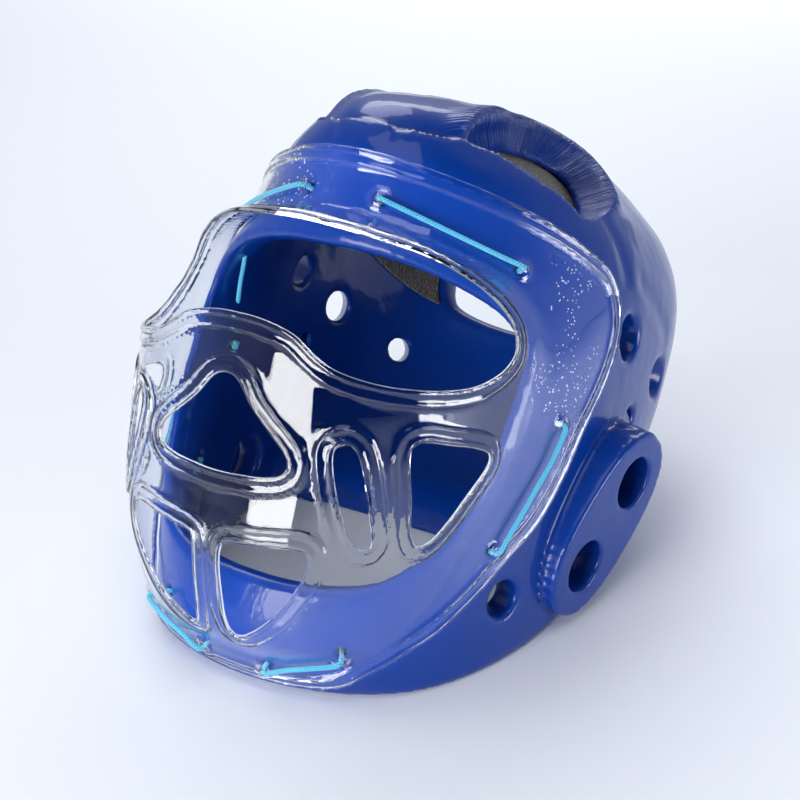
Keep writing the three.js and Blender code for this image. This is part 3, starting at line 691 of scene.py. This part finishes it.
def foam_piece():
    step = 2.15
    field = Field((-108, -40, -14), (0, 272, 288), step)
    field.low[0] = -step * (field.count[0] - 1.5)
    field = Field(field.low, (1.6 * step, 272, 288), step)
    x, y, z = np.abs(field.x), field.y, field.z
    outer = outer_distance(field)
    slope, depth = vent_frame(x, z)
    vent = outline_distance(y, slope, rounded(VENT_OUTLINE, steps=2))
    # The walls of the vents lean in as they go down
    vent = np.maximum(vent, -60 - depth) + VENT_TAPER * np.clip(-outer - 4, 0, 12)
    roll = 2.0 + 9.0 * smooth_step(-2, 6, above_band(x, y))
    body = smooth_max(outer - foam_relief(x, y, z), -vent, roll)
    body = smooth_max(body, -(outer + FOAM), 2.5)
    face = outline_distance(x, z, rounded(mirrored(FACE_OPENING), steps=2))
    face = np.maximum(face, y - 110)
    body = smooth_max(body, -face, FACE_ROUND)
    rear = outline_distance(x, z, rounded(mirrored(REAR_WINDOW), steps=2))
    rear = np.maximum(rear, 180 - y)
    body = smooth_max(body, -rear, WINDOW_ROUND)
    for row in VENT_HOLES:
        at, (outer_radius, inner_radius), axis = row[:3], row[3:5], unit(np.array(row[5:], float))
        widen = (outer_radius - inner_radius) / FOAM
        hole = drill_distance(x, y, z, at, axis, outer_radius, 25, 2.2 * FOAM, widen)
        body = smooth_max(body, -hole, HOLE_ROUND)
    for k in (-1, 1):
        hole = pad_hole_distance(x, y, z, k)
        body = smooth_max(body, -hole, EAR_ROUND)
    for end in lace_ends():
        hole = drill_distance(x, y, z, end["at"], end["out"], LACE_HOLE_RADIUS, 12, 40)
        sink = end["at"] + end["out"] * (KNOT_SINK + KNOT_RADIUS + 0.5 - FOAM - 2 * GAP - SHEET)
        pocket = drill_distance(x, y, z, sink, end["out"], KNOT_RADIUS + 1.2, 0, 40)
        body = smooth_max(body, -np.minimum(hole, pocket), LACE_ROUND)
    points, faces = field.skin(cut_flat(body, y, z))
    return both_halves(points, faces)


def drill_distance(x, y, z, at, axis, radius, ahead, behind, widen=0):
    """Distance from a hole along an axis, cut off ahead and behind. It may widen as it comes out."""
    wx, wy, wz = x - at[0], y - at[1], z - at[2]
    along = wx * axis[0] + wy * axis[1] + wz * axis[2]
    across = np.sqrt(np.clip(wx ** 2 + wy ** 2 + wz ** 2 - along ** 2, 0, None))
    radius = radius + widen * np.clip(along, -1.6 * FOAM, 10)
    return np.maximum(across - radius, np.maximum(along - ahead, -along - behind))


def pad_axes():
    along = np.array([0, math.cos(PAD_TURN), math.sin(PAD_TURN)])
    along = unit(along - along.dot(PAD_NORMAL) * PAD_NORMAL)
    return along, np.cross(PAD_NORMAL, along)


def pad_hole_distance(x, y, z, k):
    at = PAD_CENTRE + pad_axes()[0] * (k * PAD_HOLE_SPACING / 2)
    return drill_distance(x, y, z, at, PAD_NORMAL, PAD_HOLE_RADIUS, 30, 40)


def compact(points, faces):
    """The points that the faces use, and the faces over them."""
    used = np.unique(faces)
    number = np.full(len(points), -1)
    number[used] = np.arange(len(used))
    return points[used], number[faces]


def both_halves(points, faces):
    """The half at x < 0 and its mirror image, joined along the middle."""
    keep = (points[faces, 0] < 1e-6).all(1)
    points, faces = compact(points, faces[keep])
    # Points on the open middle edge sit at x = 0
    edges = np.concatenate([faces[:, [k, (k + 1) % 4]] for k in range(4)])
    key = np.sort(edges, 1)
    _, back, count = np.unique(key, axis=0, return_inverse=True, return_counts=True)
    rim = np.unique(key[count[back.ravel()] == 1])
    points[rim, 0] = 0
    image = np.arange(len(points)) + len(points)
    image[rim] = rim
    return compact(np.vstack([points, points * MIRROR]), np.vstack([faces, image[faces][:, ::-1]]))


# Shield
# Share of the sheet's thickness that the scene shows
SHEET_SHOWN = 0.8
# A distance from a lace hole that stands for none near
FAR = 1e9
# Distance over which the sheet leaves the foam
STEP = 3.0
# How far the sheet stands out of its smooth form, by distance from a cut edge and from a lace hole
RIB = [
    (0, 1.3), (0.5, 1.75), (1.3, 1.6), (2.0, 1.0), (4.4, 0.95), (5.3, 1.35), (6.0, 1.15), (7.0, 0), (9, 0),
]
DIMPLE = [(0, 1.5), (2.6, 1.5), (3.5, 1.2), (5.6, 0), (9, 0)]


def shield_point(angle, level, distance):
    angle, level = np.broadcast_arrays(np.asarray(angle, float), np.asarray(level, float))
    cosine, sine = np.cos(angle), np.sin(angle)
    middle = middle_of(level)
    close = offset_point(angle, level, np.broadcast_to(2 * GAP + distance, level.shape))
    deep = middle - dome_front(level)
    radius = oval(cosine, sine, dome_half(level), deep, DOME_POWER) - SHEET + distance
    far = np.stack([radius * cosine, middle + radius * sine, level], -1)
    gain = np.hypot(far[..., 0], far[..., 1] - middle) - np.hypot(close[..., 0], close[..., 1] - middle)
    share = smooth_step(0, STEP, gain) * (sine < 0)
    return close + (far - close) * share[..., None]


def angle_at(across, level, distance=SHEET):
    """The angle ahead of the middle at which the shield has that distance across."""
    low = np.full(np.shape(across), -math.pi / 2)
    high = np.zeros(np.shape(across))
    for _ in range(40):
        mid = (low + high) / 2
        less = shield_point(mid, level, distance)[..., 0] < across
        low = np.where(less, mid, low)
        high = np.where(less, high, mid)
    return (low + high) / 2


def lace_ends():
    ends = []
    for row in LACES:
        for k in (1, 3):
            across, level = float(row[k]), float(row[k + 1])
            angle = float(angle_at(np.array(across), np.array(level)))
            at = shield_point(angle, level, SHEET)
            out = facing(foam_point, angle, level)
            ends.append({"angle": angle, "level": level, "at": at, "out": out})
    return ends


def holes_both_sides(ends):
    """The middle of every lace hole on both sides, and the way out of it."""
    return [(end["at"] * flip, end["out"] * flip) for end in ends for flip in (np.ones(3), MIRROR)]


class Crossings:
    """New points, each made once, on old ones or between two where a value passes zero."""

    def __init__(self, value, start, least):
        self.value = value
        self.start = start
        self.least = least
        self.number = {}
        self.pairs = []

    def point(self, i, j, share):
        if (i, j) not in self.number:
            self.number[(i, j)] = self.start + len(self.pairs)
            self.pairs.append((i, j, share))
        return self.number[(i, j)]

    def between(self, i, j):
        i, j = min(i, j), max(i, j)
        share = self.value[i] / (self.value[i] - self.value[j])
        return self.point(i, j, min(max(share, self.least), 1 - self.least))


def blend(values, pairs):
    """Rows of values at new points, each at its share of the way between two old ones."""
    first, second, share = (np.array(column) for column in zip(*pairs))
    return values[first] + share[:, None] * (values[second] - values[first])


def cut_grid(value):
    """Cells of a grid where value is below zero, as faces over new points.

    Returns the new points as pairs of grid points with the share of the second, the faces and
    the rim's edges."""
    columns = value.shape[1]
    flat = value.ravel()
    new = Crossings(flat, 0, 0.04)
    faces = []
    rim = []
    inside = value < 0
    total = (inside[:-1, :-1].astype(int) + inside[1:, :-1] + inside[1:, 1:] + inside[:-1, 1:])
    for r, c in np.argwhere(total > 0):
        ring = (r * columns + c, (r + 1) * columns + c, (r + 1) * columns + c + 1, r * columns + c + 1)
        face = []
        leaves, enters = [], []
        for k in range(4):
            i, j = ring[k], ring[(k + 1) % 4]
            if flat[i] < 0:
                face.append(new.point(i, i, 0.0))
            if (flat[i] < 0) != (flat[j] < 0):
                (leaves if flat[i] < 0 else enters).append(len(face))
                face.append(new.between(i, j))
        faces.append(face)
        if len(leaves) == 1:
            rim.append((face[leaves[0]], face[enters[0]]))
    return new.pairs, faces, rim


def split_faces(faces, height):
    """Faces split along height zero, with the pairs of old points that each new point lies between."""
    new = Crossings(height, len(height), 0.05)
    out = []
    for face in faces:
        over = [height[i] > 0 for i in face]
        if all(over) or not any(over):
            out.append(face)
            continue
        upper, lower, crossings = [], [], 0
        for k, i in enumerate(face):
            j = face[(k + 1) % len(face)]
            (upper if over[k] else lower).append(i)
            if over[k] != over[(k + 1) % len(face)]:
                middle = new.between(i, j)
                upper.append(middle)
                lower.append(middle)
                crossings += 1
        if crossings == 2:
            out += [part for part in (upper, lower) if len(part) > 2]
        else:
            out.append(face)
    return out, new.pairs


def surface_normals(points, faces):
    total = np.zeros_like(points)
    for face in faces:
        a, b, c = points[face[0]], points[face[1]], points[face[-1]]
        n = np.cross(b - a, c - a)
        for i in face:
            total[i] += n
    return unit(total)


def shield_cut(base, ends):
    """A value below zero where the sheet stands, and the distance from the nearest lace hole's axis."""
    x, y, z = np.abs(base[..., 0]), base[..., 1], base[..., 2]
    edge = rounded(SHIELD_EDGE, closed=False, steps=4)
    edge = np.vstack([edge, [(-200, SHIELD_EDGE[-1][1]), (-200, SHIELD_EDGE[0][1])]])
    value = outline_distance(y, z, edge)
    for outline in (mirrored(EYE_OPENING), mirrored(NOSE_OPENING), LOW_OPENING, SLOT_OPENING, SIDE_OPENING):
        value = np.maximum(value, -outline_distance(x, z, rounded(outline, steps=4)))
    reach = np.full(value.shape, FAR)
    for at, out in holes_both_sides(ends):
        w = base - at
        along = w @ out
        far = np.sqrt(np.clip((w ** 2).sum(-1) - along ** 2, 0, None))
        reach = np.minimum(reach, np.where(np.abs(along) < 12, far, FAR))
    return np.maximum(value, LACE_HOLE_RADIUS - 0.2 - reach), reach


def cut_edges(points, rim, hole):
    """Close spots along every cut edge that isn't a lace hole, in a tree to look them up."""
    spots = []
    for i, j in rim:
        if min(hole[i], hole[j]) > 4:
            a, b = points[i], points[j]
            pieces = max(1, int(np.linalg.norm(b - a) / 0.35))
            spots += [a + (b - a) * k / pieces for k in range(pieces)]
    tree = KDTree(len(spots))
    for k, spot in enumerate(spots):
        tree.insert(spot, k)
    tree.balance()
    return tree


def raised_way(out, start, gap, rows, share):
    """How far a relief tips the way its surface faces, away from where the relief starts."""
    level_part = unit(start - out * (start * out).sum(1)[:, None])
    lift = (np.interp(gap + 0.35, *zip(*rows)) - np.interp(np.maximum(gap - 0.35, 0), *zip(*rows))) / 0.7
    return level_part * (lift * share)[:, None]


def evened(ways, faces):
    """Ways at the points of faces, each drawn towards those of its neighbours, twice."""
    edges = np.array([(face[k - 1], face[k]) for face in faces for k in range(len(face))])
    for _ in range(2):
        near = np.zeros_like(ways)
        np.add.at(near, edges[:, 0], ways[edges[:, 1]])
        np.add.at(near, edges[:, 1], ways[edges[:, 0]])
        ways = unit(ways + unit(near))
    return ways


def shield_piece():
    """The sheet, drawn over angle and level, cut along its outlines and given its thickness."""
    step = 1.5
    angles = np.linspace(-math.pi, 0, int(330 / step))
    grid_angle, grid_level = np.meshgrid(angles, np.arange(4, 243, step), indexing="ij")
    ends = lace_ends()
    value, reach = shield_cut(shield_point(grid_angle, grid_level, SHEET / 2), ends)
    pairs, faces, rim = cut_grid(value)
    angle, level, hole = blend(np.stack([grid_angle, grid_level, reach], -1).reshape(-1, 3), pairs).T
    hole = np.minimum(hole, 1e3)
    points = shield_point(angle, level, SHEET / 2)
    tree = cut_edges(points, rim, hole)
    away = np.array([tree.find(p)[2] for p in points])
    # Faces are split where the relief bends, so that its bends stay crisp
    at = np.stack([angle, level, away, hole], 1)
    for column, bends in ((2, RIB), (3, DIMPLE)):
        for bend_at, _ in bends[1:-1]:
            faces, pairs = split_faces(faces, at[:, column] - bend_at)
            if pairs:
                at = np.vstack([at, blend(at, pairs)])
    used = np.unique([i for face in faces for i in face])
    number = {int(i): k for k, i in enumerate(used)}
    faces = [[number[i] for i in face] for face in faces]
    rim = [(number[i], number[j]) for i, j in rim]
    angle, level, away, hole = at[used].T
    points = shield_point(angle, level, SHEET / 2)
    along = shield_point(angle + 0.02, level, SHEET / 2) - shield_point(angle - 0.02, level, SHEET / 2)
    rise = shield_point(angle, level + 1, SHEET / 2) - shield_point(angle, level - 1, SHEET / 2)
    out = unit(np.cross(along, rise))
    if (surface_normals(points, faces) * out).sum(1).mean() < 0:
        faces = [face[::-1] for face in faces]
        rim = [(j, i) for i, j in rim]
    fade = smooth_step(1, 7, away)
    middle = points + out * (np.interp(away, *zip(*RIB)) + np.interp(hole, *zip(*DIMPLE)) * fade)[:, None]
    # The sheet's light and shade follow the slope of its relief, not its faces
    from_edge = points - np.array([tree.find(p)[0] for p in points])
    from_hole, hole_away = nearest_hole(points, ends)
    tipped = raised_way(out, from_edge, away, RIB, 1.0), raised_way(out, from_hole, hole_away, DIMPLE, fade)
    facing_way = evened(unit(out - tipped[0] - tipped[1]), faces)
    return sheet_solid(middle, out, facing_way, faces, rim, SHEET * SHEET_SHOWN)


def nearest_hole(points, ends):
    """The step from the middle of the nearest lace hole to each point, and its length."""
    best = np.full(len(points), FAR)
    step = np.zeros_like(points)
    for at, _ in holes_both_sides(ends):
        way = points - at
        size = np.linalg.norm(way, axis=1)
        nearer = size < best
        best[nearer] = size[nearer]
        step[nearer] = way[nearer]
    return step, best


def sheet_solid(middle, out, facing_way, faces, rim, thick):
    """A closed sheet of even thickness with a rounded rim, and the way each of its points faces."""
    n = len(middle)
    upper = middle + out * thick / 2
    lower = middle - out * thick / 2
    rim_points = sorted({i for edge in rim for i in edge})
    number = {i: 2 * n + k for k, i in enumerate(rim_points)}
    push = {i: np.zeros(3) for i in rim_points}
    for i, j in rim:
        outward = np.cross(middle[j] - middle[i], out[i])
        push[i] += outward
        push[j] += outward
    round_rim = np.array([middle[i] + unit(push[i]) * thick * 0.4 for i in rim_points])
    points = np.vstack([upper, lower, round_rim])
    ways = np.vstack([facing_way, -facing_way, [unit(push[i]) for i in rim_points]])
    solid = [list(face) for face in faces]
    solid += [[n + i for i in face[::-1]] for face in faces]
    for i, j in rim:
        solid.append([j, i, number[i], number[j]])
        solid.append([number[j], number[i], n + i, n + j])
    return points, solid, ways


# Ear pads
def ear_pad_piece():
    step = 1.25
    field = Field((72, 50, 48), (132, 172, 152), step)
    x, y, z = field.x, field.y, field.z
    outer = outer_distance(field)
    along, side = pad_axes()
    wx, wy, wz = x - PAD_CENTRE[0], y - PAD_CENTRE[1], z - PAD_CENTRE[2]
    u = wx * along[0] + wy * along[1] + wz * along[2]
    v = wx * side[0] + wy * side[1] + wz * side[2]
    w = wx * PAD_NORMAL[0] + wy * PAD_NORMAL[1] + wz * PAD_NORMAL[2]
    ring = np.linspace(0, 2 * math.pi, 120, endpoint=False)
    reach = oval(np.cos(ring), np.sin(ring), PAD_LENGTH / 2, PAD_WIDTH / 2, PAD_POWER)
    outline = np.stack([reach * np.cos(ring), reach * np.sin(ring)], 1)
    block = outline_distance(u, v, outline)
    block = smooth_max(block, w, 2.2)
    body = smooth_min(block, outer + 0.4, 4.0)
    pull = np.exp(-((w + 9) / 7) ** 2) * np.exp(-((np.abs(u) - PAD_LENGTH / 2 + 6) / 14) ** 2)
    body -= 0.55 * pull * np.sin(1.15 * u + 0.5 * v + 0.9 * np.sin(0.33 * w))
    for k in (-1, 1):
        body = smooth_max(body, -pad_hole_distance(x, y, z, k), 1.4)
    body = np.maximum(np.maximum(body, -2.5 - outer), block - 7)
    return field.skin(cut_flat(body, y, z))


# Laces
def tube(route, radius, sides=12):
    """A round tube along close points: points, faces and, for each face's corners, turns and millimetres."""
    route = np.asarray(route, float)
    n = len(route)
    tangent = unit(np.gradient(route, axis=0))
    side = unit(np.cross(tangent[0], (0.3, 0.2, 0.9)))
    length = np.r_[0, np.cumsum(np.linalg.norm(np.diff(route, axis=0), axis=1))]
    points = []
    for k in range(n):
        side = unit(side - tangent[k] * side.dot(tangent[k]))
        other = np.cross(tangent[k], side)
        size = radius if 1 < k < n - 2 else radius * (0.55 if k in (0, n - 1) else 0.9)
        for m in range(sides):
            angle = 2 * math.pi * m / sides
            points.append(route[k] + size * (math.cos(angle) * side + math.sin(angle) * other))
    faces = []
    wraps = []
    for k in range(n - 1):
        for m in range(sides):
            a, b = k * sides + m, k * sides + (m + 1) % sides
            faces.append([a, b, b + sides, a + sides])
            u, v = m / sides, (m + 1) / sides
            wraps.append([(u, length[k]), (v, length[k]), (v, length[k + 1]), (u, length[k + 1])])
    faces.append(list(range(sides))[::-1])
    faces.append([(n - 1) * sides + m for m in range(sides)])
    wraps += [[(0, 0)] * sides, [(0, length[-1])] * sides]
    return np.array(points), faces, wraps


def smooth_route(points, spacing=0.7):
    p = rounded3(points)
    length = np.r_[0, np.cumsum(np.linalg.norm(np.diff(p, axis=0), axis=1))]
    at = np.linspace(0, length[-1], max(int(length[-1] / spacing), 4) + 1)
    return np.stack([np.interp(at, length, p[:, k]) for k in range(3)], 1)


def rounded3(points, steps=8):
    p = np.array(points, float)
    n = len(p)
    out = []
    for k in range(n - 1):
        a, b, c, d = (p[min(max(k + j, 0), n - 1)] for j in (-1, 0, 1, 2))
        for j in range(steps):
            t = j / steps
            out.append(0.5 * (2 * b + (c - a) * t + (2 * a - 5 * b + 4 * c - d) * t * t
                              + (3 * b - a - 3 * c + d) * t ** 3))
    out.append(p[-1])
    return np.array(out)


def bend(base, axis, along, height):
    centre = base + along * LACE_BEND + axis * (height - LACE_BEND)
    turns = np.radians([0, 30, 60, 90])
    return [centre - along * LACE_BEND * math.cos(t) + axis * LACE_BEND * math.sin(t) for t in turns]


def knot_route(centre, axis):
    """An overhand knot drawn tight round a point."""
    side = unit(np.cross(axis, (0.2, 0.9, 0.4)))
    lift = np.cross(axis, side)
    turns = np.linspace(0, 2 * math.pi, 30)
    size = (KNOT_RADIUS - LACE_RADIUS) / 3
    return [
        centre
        + side * size * (math.sin(t) + 2 * math.sin(2 * t))
        + lift * size * (math.cos(t) - 2 * math.cos(2 * t))
        + axis * size * 1.6 * math.sin(3 * t)
        for t in turns
    ]


def lace_pieces():
    """Each lace from the knot in its first pocket, out, along the shield and in to its second knot."""
    ends = lace_ends()
    made = []
    for row, first, second in zip(LACES, ends[0::2], ends[1::2]):
        name = row[0]
        rise = LACE_RADIUS + LACE_LIFT
        steep = abs(first["at"][0] - second["at"][0]) < 15
        outward = []
        for k in range(1, 14):
            share = k / 14
            level = first["level"] + share * (second["level"] - first["level"])
            across = first["at"][0] + share * (second["at"][0] - first["at"][0])
            if steep:
                angle = first["angle"] + share * (second["angle"] - first["angle"])
            else:
                angle = float(angle_at(np.array(across), np.array(level)))
            spot = shield_point(angle, level, SHEET)
            outward.append(spot + facing(lambda a, l: shield_point(a, l, SHEET), angle, level) * rise)
        # Drawn tight, it cuts the corners of the sheet's curve as far as the sheet allows
        straight = np.linspace(outward[0], outward[-1], len(outward))
        outward = [0.75 * np.array(p) + 0.25 * q for p, q in zip(outward, straight)]
        depth = FOAM + 2 * GAP + SHEET - KNOT_SINK
        knots = [end["at"] - end["out"] * depth for end in (first, second)]

        def level_to(end, toward):
            step = toward - end["at"]
            return unit(step - end["out"] * step.dot(end["out"]))

        route = [
            knots[0], knots[0] + first["out"] * 4,
            *bend(first["at"], first["out"], level_to(first, outward[0]), rise), *outward[1:-1],
            *bend(second["at"], second["out"], level_to(second, outward[-1]), rise)[::-1],
            knots[1] + second["out"] * 4, knots[1],
        ]
        parts = [tube(smooth_route(route), LACE_RADIUS)]
        for knot, end in zip(knots, (first, second)):
            parts.append(tube(smooth_route(knot_route(knot, end["out"]), 0.5), LACE_RADIUS))
        tail = []
        if name == "brow_lace":
            tail = [knots[1], knots[1] - second["out"] * 4.5, *(np.array(p, float) for p in TAIL_ROUTE)]
            tail = [tube(smooth_route(tail), LACE_RADIUS)]
        made.append((name, parts, parts + tail))
    return made


def joined(parts):
    points, faces, wraps = [], [], []
    start = 0
    for some, ring, turns in parts:
        points.append(some)
        faces += [[i + start for i in face] for face in ring]
        wraps += turns
        start += len(some)
    return np.vstack(points), faces, wraps


def other_side(points, faces):
    return points * MIRROR, [list(face)[::-1] for face in faces]


# Crown liner
def liner_piece():
    """The cloth under the crown: a sheet that follows the foam's inner face, cut along its edge."""
    step = 2.4
    angles = np.linspace(math.pi / 2, 2.5 * math.pi, int(520 / step))
    near_top = np.linspace(262, 276, 9), np.linspace(277, 280.7, 8)
    levels = np.concatenate([np.arange(168, 262, step), *near_top])
    grid_angle, grid_level = np.meshgrid(angles, levels, indexing="ij")
    base = offset_point(grid_angle, grid_level, np.broadcast_to(-FOAM - GAP - 1.0, grid_level.shape))
    x, y, z = np.abs(base[..., 0]), base[..., 1], base[..., 2]
    value = outline_distance(y, z, LINER_EDGE)
    window = outline_distance(x, z, rounded(mirrored(REAR_WINDOW), steps=3))
    window = np.maximum(window, 150 - y)
    value = np.maximum(value, LINER_REACH - window)
    pairs, faces, _ = cut_grid(value)
    points = blend(base.reshape(-1, 3), pairs)
    # The two ends of the round meet at the back, and a fan closes the crown
    _, where, number = np.unique(np.round(points, 2), axis=0, return_index=True, return_inverse=True)
    number = number.ravel()
    points = points[where]
    faces = [list(dict.fromkeys(number[face])) for face in faces]
    faces = [face for face in faces if len(face) > 2]
    top = np.flatnonzero(np.abs(points[:, 2] - points[:, 2].max()) < 0.05)
    turn = np.arctan2(points[top, 1] - points[top, 1].mean(), points[top, 0])
    top = top[np.argsort(turn)]
    points = np.vstack([points, points[top].mean(0)])
    faces += [[int(top[k]), int(top[(k + 1) % len(top)]), len(points) - 1] for k in range(len(top))]
    count = {}
    for face in faces:
        for k in range(len(face)):
            edge = (face[k], face[(k + 1) % len(face)])
            count[edge] = count.get(edge, 0) + 1
    rim = [(i, j) for i, j in count if (j, i) not in count]
    out = surface_normals(points, faces)
    area = 0.0
    for face in faces:
        for k in range(1, len(face) - 1):
            a, b, c = points[face[0]], points[face[k]], points[face[k + 1]]
            area += np.linalg.norm(np.cross(b - a, c - a)) / 2
    points, faces, _ = sheet_solid(points, out, out, faces, rim, 1.4)
    return points, faces, area / 1e6


# The camera stands where the photograph was taken from
scene = bpy.context.scene
lens = bpy.data.cameras.new("camera")
lens.sensor_width = 36
lens.lens = 63
lens.clip_end = 20
camera = bpy.data.objects.new("camera", lens)
scene.collection.objects.link(camera)
AZIMUTH, ELEVATION = math.radians(30.5), math.radians(25.6)
forward = Vector((
    -math.sin(AZIMUTH) * math.cos(ELEVATION), math.cos(AZIMUTH) * math.cos(ELEVATION), -math.sin(ELEVATION),
))
camera.matrix_world = Matrix.Translation((0.3149, -0.3914 - FOOT_Y / 1000, 0.3776)) @ (
    forward.to_track_quat("-Z", "Y").to_matrix().to_4x4()
)
scene.camera = camera


# Pieces
def place_piece(name, points, faces, look, node, slot):
    """A piece from points in millimetres of the worn frame, in place of a node of the part."""
    mesh = bpy.data.meshes.new(name)
    mesh.from_pydata([tuple(p) for p in at_rest(points)], [], [tuple(int(i) for i in f) for f in faces])
    mesh.validate()
    mesh.update()
    mesh.shade_smooth()
    mesh.materials.append(look)
    piece = bpy.data.objects.new(name, mesh)
    scene.collection.objects.link(piece)
    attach(piece, "root")
    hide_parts(node)
    return piece


def note_values(piece, name, values):
    """A number at each point of a piece, for its material."""
    place = piece.data.attributes.new(name, "FLOAT", "POINT")
    place.data.foreach_set("value", np.asarray(values, np.float32))


points, faces = foam_piece()
foam = place_piece("foam_body", points, faces, FOAM_LOOK, "foam_shell", "dipped_foam")
# Fine folds run across the rolled lips of the vents, where the skin is drawn round the arch
x, y, z = np.abs(points[:, 0]), points[:, 1], points[:, 2]
slope, _ = vent_frame(x, z)
around = outline_distance(y, slope, rounded(VENT_OUTLINE, steps=2))
note_values(foam, "wrinkle_turn", 26 * np.arctan2(slope - 34, (y - 92) * 0.75))
at_vent = np.exp(-((around - 3) / 7) ** 2)
note_values(foam, "wrinkle_mask", at_vent * smooth_step(0, 7, above_band(x, y)) * (z > 215))

points, faces = ear_pad_piece()
for side, made in (("left", (points, faces)), ("right", other_side(points, faces))):
    pad = place_piece(f"ear_pad_{side}_foam", *made, FOAM_LOOK, f"ear_pad_{side}", "dipped_foam")

points, faces, ways = shield_piece()
shield = place_piece("clear_shield", points, faces, CLEAR_LOOK, "face_shield", "clear_shield")
shield.data.normals_split_custom_set_from_vertices([tuple(way) for way in ways @ TO_REST.T])
# Light reaches the foam through the sheet
shield.visible_shadow = False
reach = np.hypot(points[:, 0], points[:, 1] - middle_of(points[:, 2])) + 1e-9
foam_edge = foam_radius(points[:, 0] / reach, (points[:, 1] - middle_of(points[:, 2])) / reach, points[:, 2])
# Bubbles are trapped where the sheet lies on the foam, in patches on the right of the brow and the left side
trapped = sum(np.exp(-((points - at) ** 2).sum(1) / size ** 2) for at, size in BUBBLES)
note_values(shield, "touch", np.minimum(trapped * 3, 1) * (1 - smooth_step(5, 8, reach - foam_edge)))

for name, plain, tailed in lace_pieces():
    for side, parts in (("left", plain), ("right", tailed)):
        points, faces, wraps = joined(parts)
        if side == "right":
            points, faces = other_side(points, faces)
            wraps = [ring[::-1] for ring in wraps]
        lace = place_piece(f"{name}_{side}_cord", points, faces, CORD_LOOK, f"{name}_{side}", "elastic_cord")
        layer = lace.data.uv_layers.new(name="braid")
        layer.data.foreach_set("uv", np.array([c for ring in wraps for c in ring], np.float32).ravel())

points, faces, area = liner_piece()
liner = place_piece("crown_liner_cloth", points, faces, CLOTH_LOOK, "crown_liner", "liner_cloth")

# Floor, light and air
scene.view_settings.view_transform = "Standard"
bpy.ops.mesh.primitive_plane_add(size=12)
floor = bpy.context.object
floor.name = "floor"
pale, tree, shader = new_material("floor")
shader.inputs["Base Color"].default_value = (0.77, 0.81, 0.885, 1)
shader.inputs["Roughness"].default_value = 0.7
floor.data.materials.append(pale)
floor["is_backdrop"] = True

# A white studio with a dark corner on one side, where the photographer stands
world = bpy.data.worlds.new("world")
scene.world = world
world.use_nodes = True
sky = world.node_tree
toward = add(sky, "VectorMath", add(sky, "TexCoord"), (0.66, -0.64, 0.39), operation="DOT_PRODUCT")
shade = ramp(sky, toward.outputs["Value"], 0.1, (0.84, 0.9, 1.0), 0.55, (0.02, 0.03, 0.05))
sky.links.new(shade.outputs[0], sky.nodes["Background"].inputs["Color"])
sky.nodes["Background"].inputs["Strength"].default_value = 0.42


def softbox(name, at, toward, width, height, power):
    light = bpy.data.lights.new(name, "AREA")
    light.shape = "RECTANGLE"
    light.size = width
    light.size_y = height
    light.energy = power
    obj = bpy.data.objects.new(name, light)
    scene.collection.objects.link(obj)
    direction = Vector(toward) - Vector(at)
    obj.matrix_world = Matrix.Translation(at) @ direction.to_track_quat("-Z", "Y").to_matrix().to_4x4()


softbox("softbox_front", (-0.08, -1.22, 0.36), (0, 0, 0.12), 0.62, 0.66, 14)
softbox("softbox_right", (0.85, 0.02, 0.12), (0, 0, 0.12), 0.42, 0.22, 3)
softbox("softbox_top", (-0.5, 0.5, 1.3), (0, 0, 0.12), 0.7, 0.7, 6)
softbox("softbox_over", (0.25, -0.75, 1.9), (0.1, -0.5, 0), 1.5, 1.2, 9)
softbox("softbox_far", (-0.9, 2.4, 1.9), (-1.0, 2.6, 0), 2.6, 2.0, 70)

plain = [[[float(v) for v in corner] for corner in box] for box in (cad_bounds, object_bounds())]
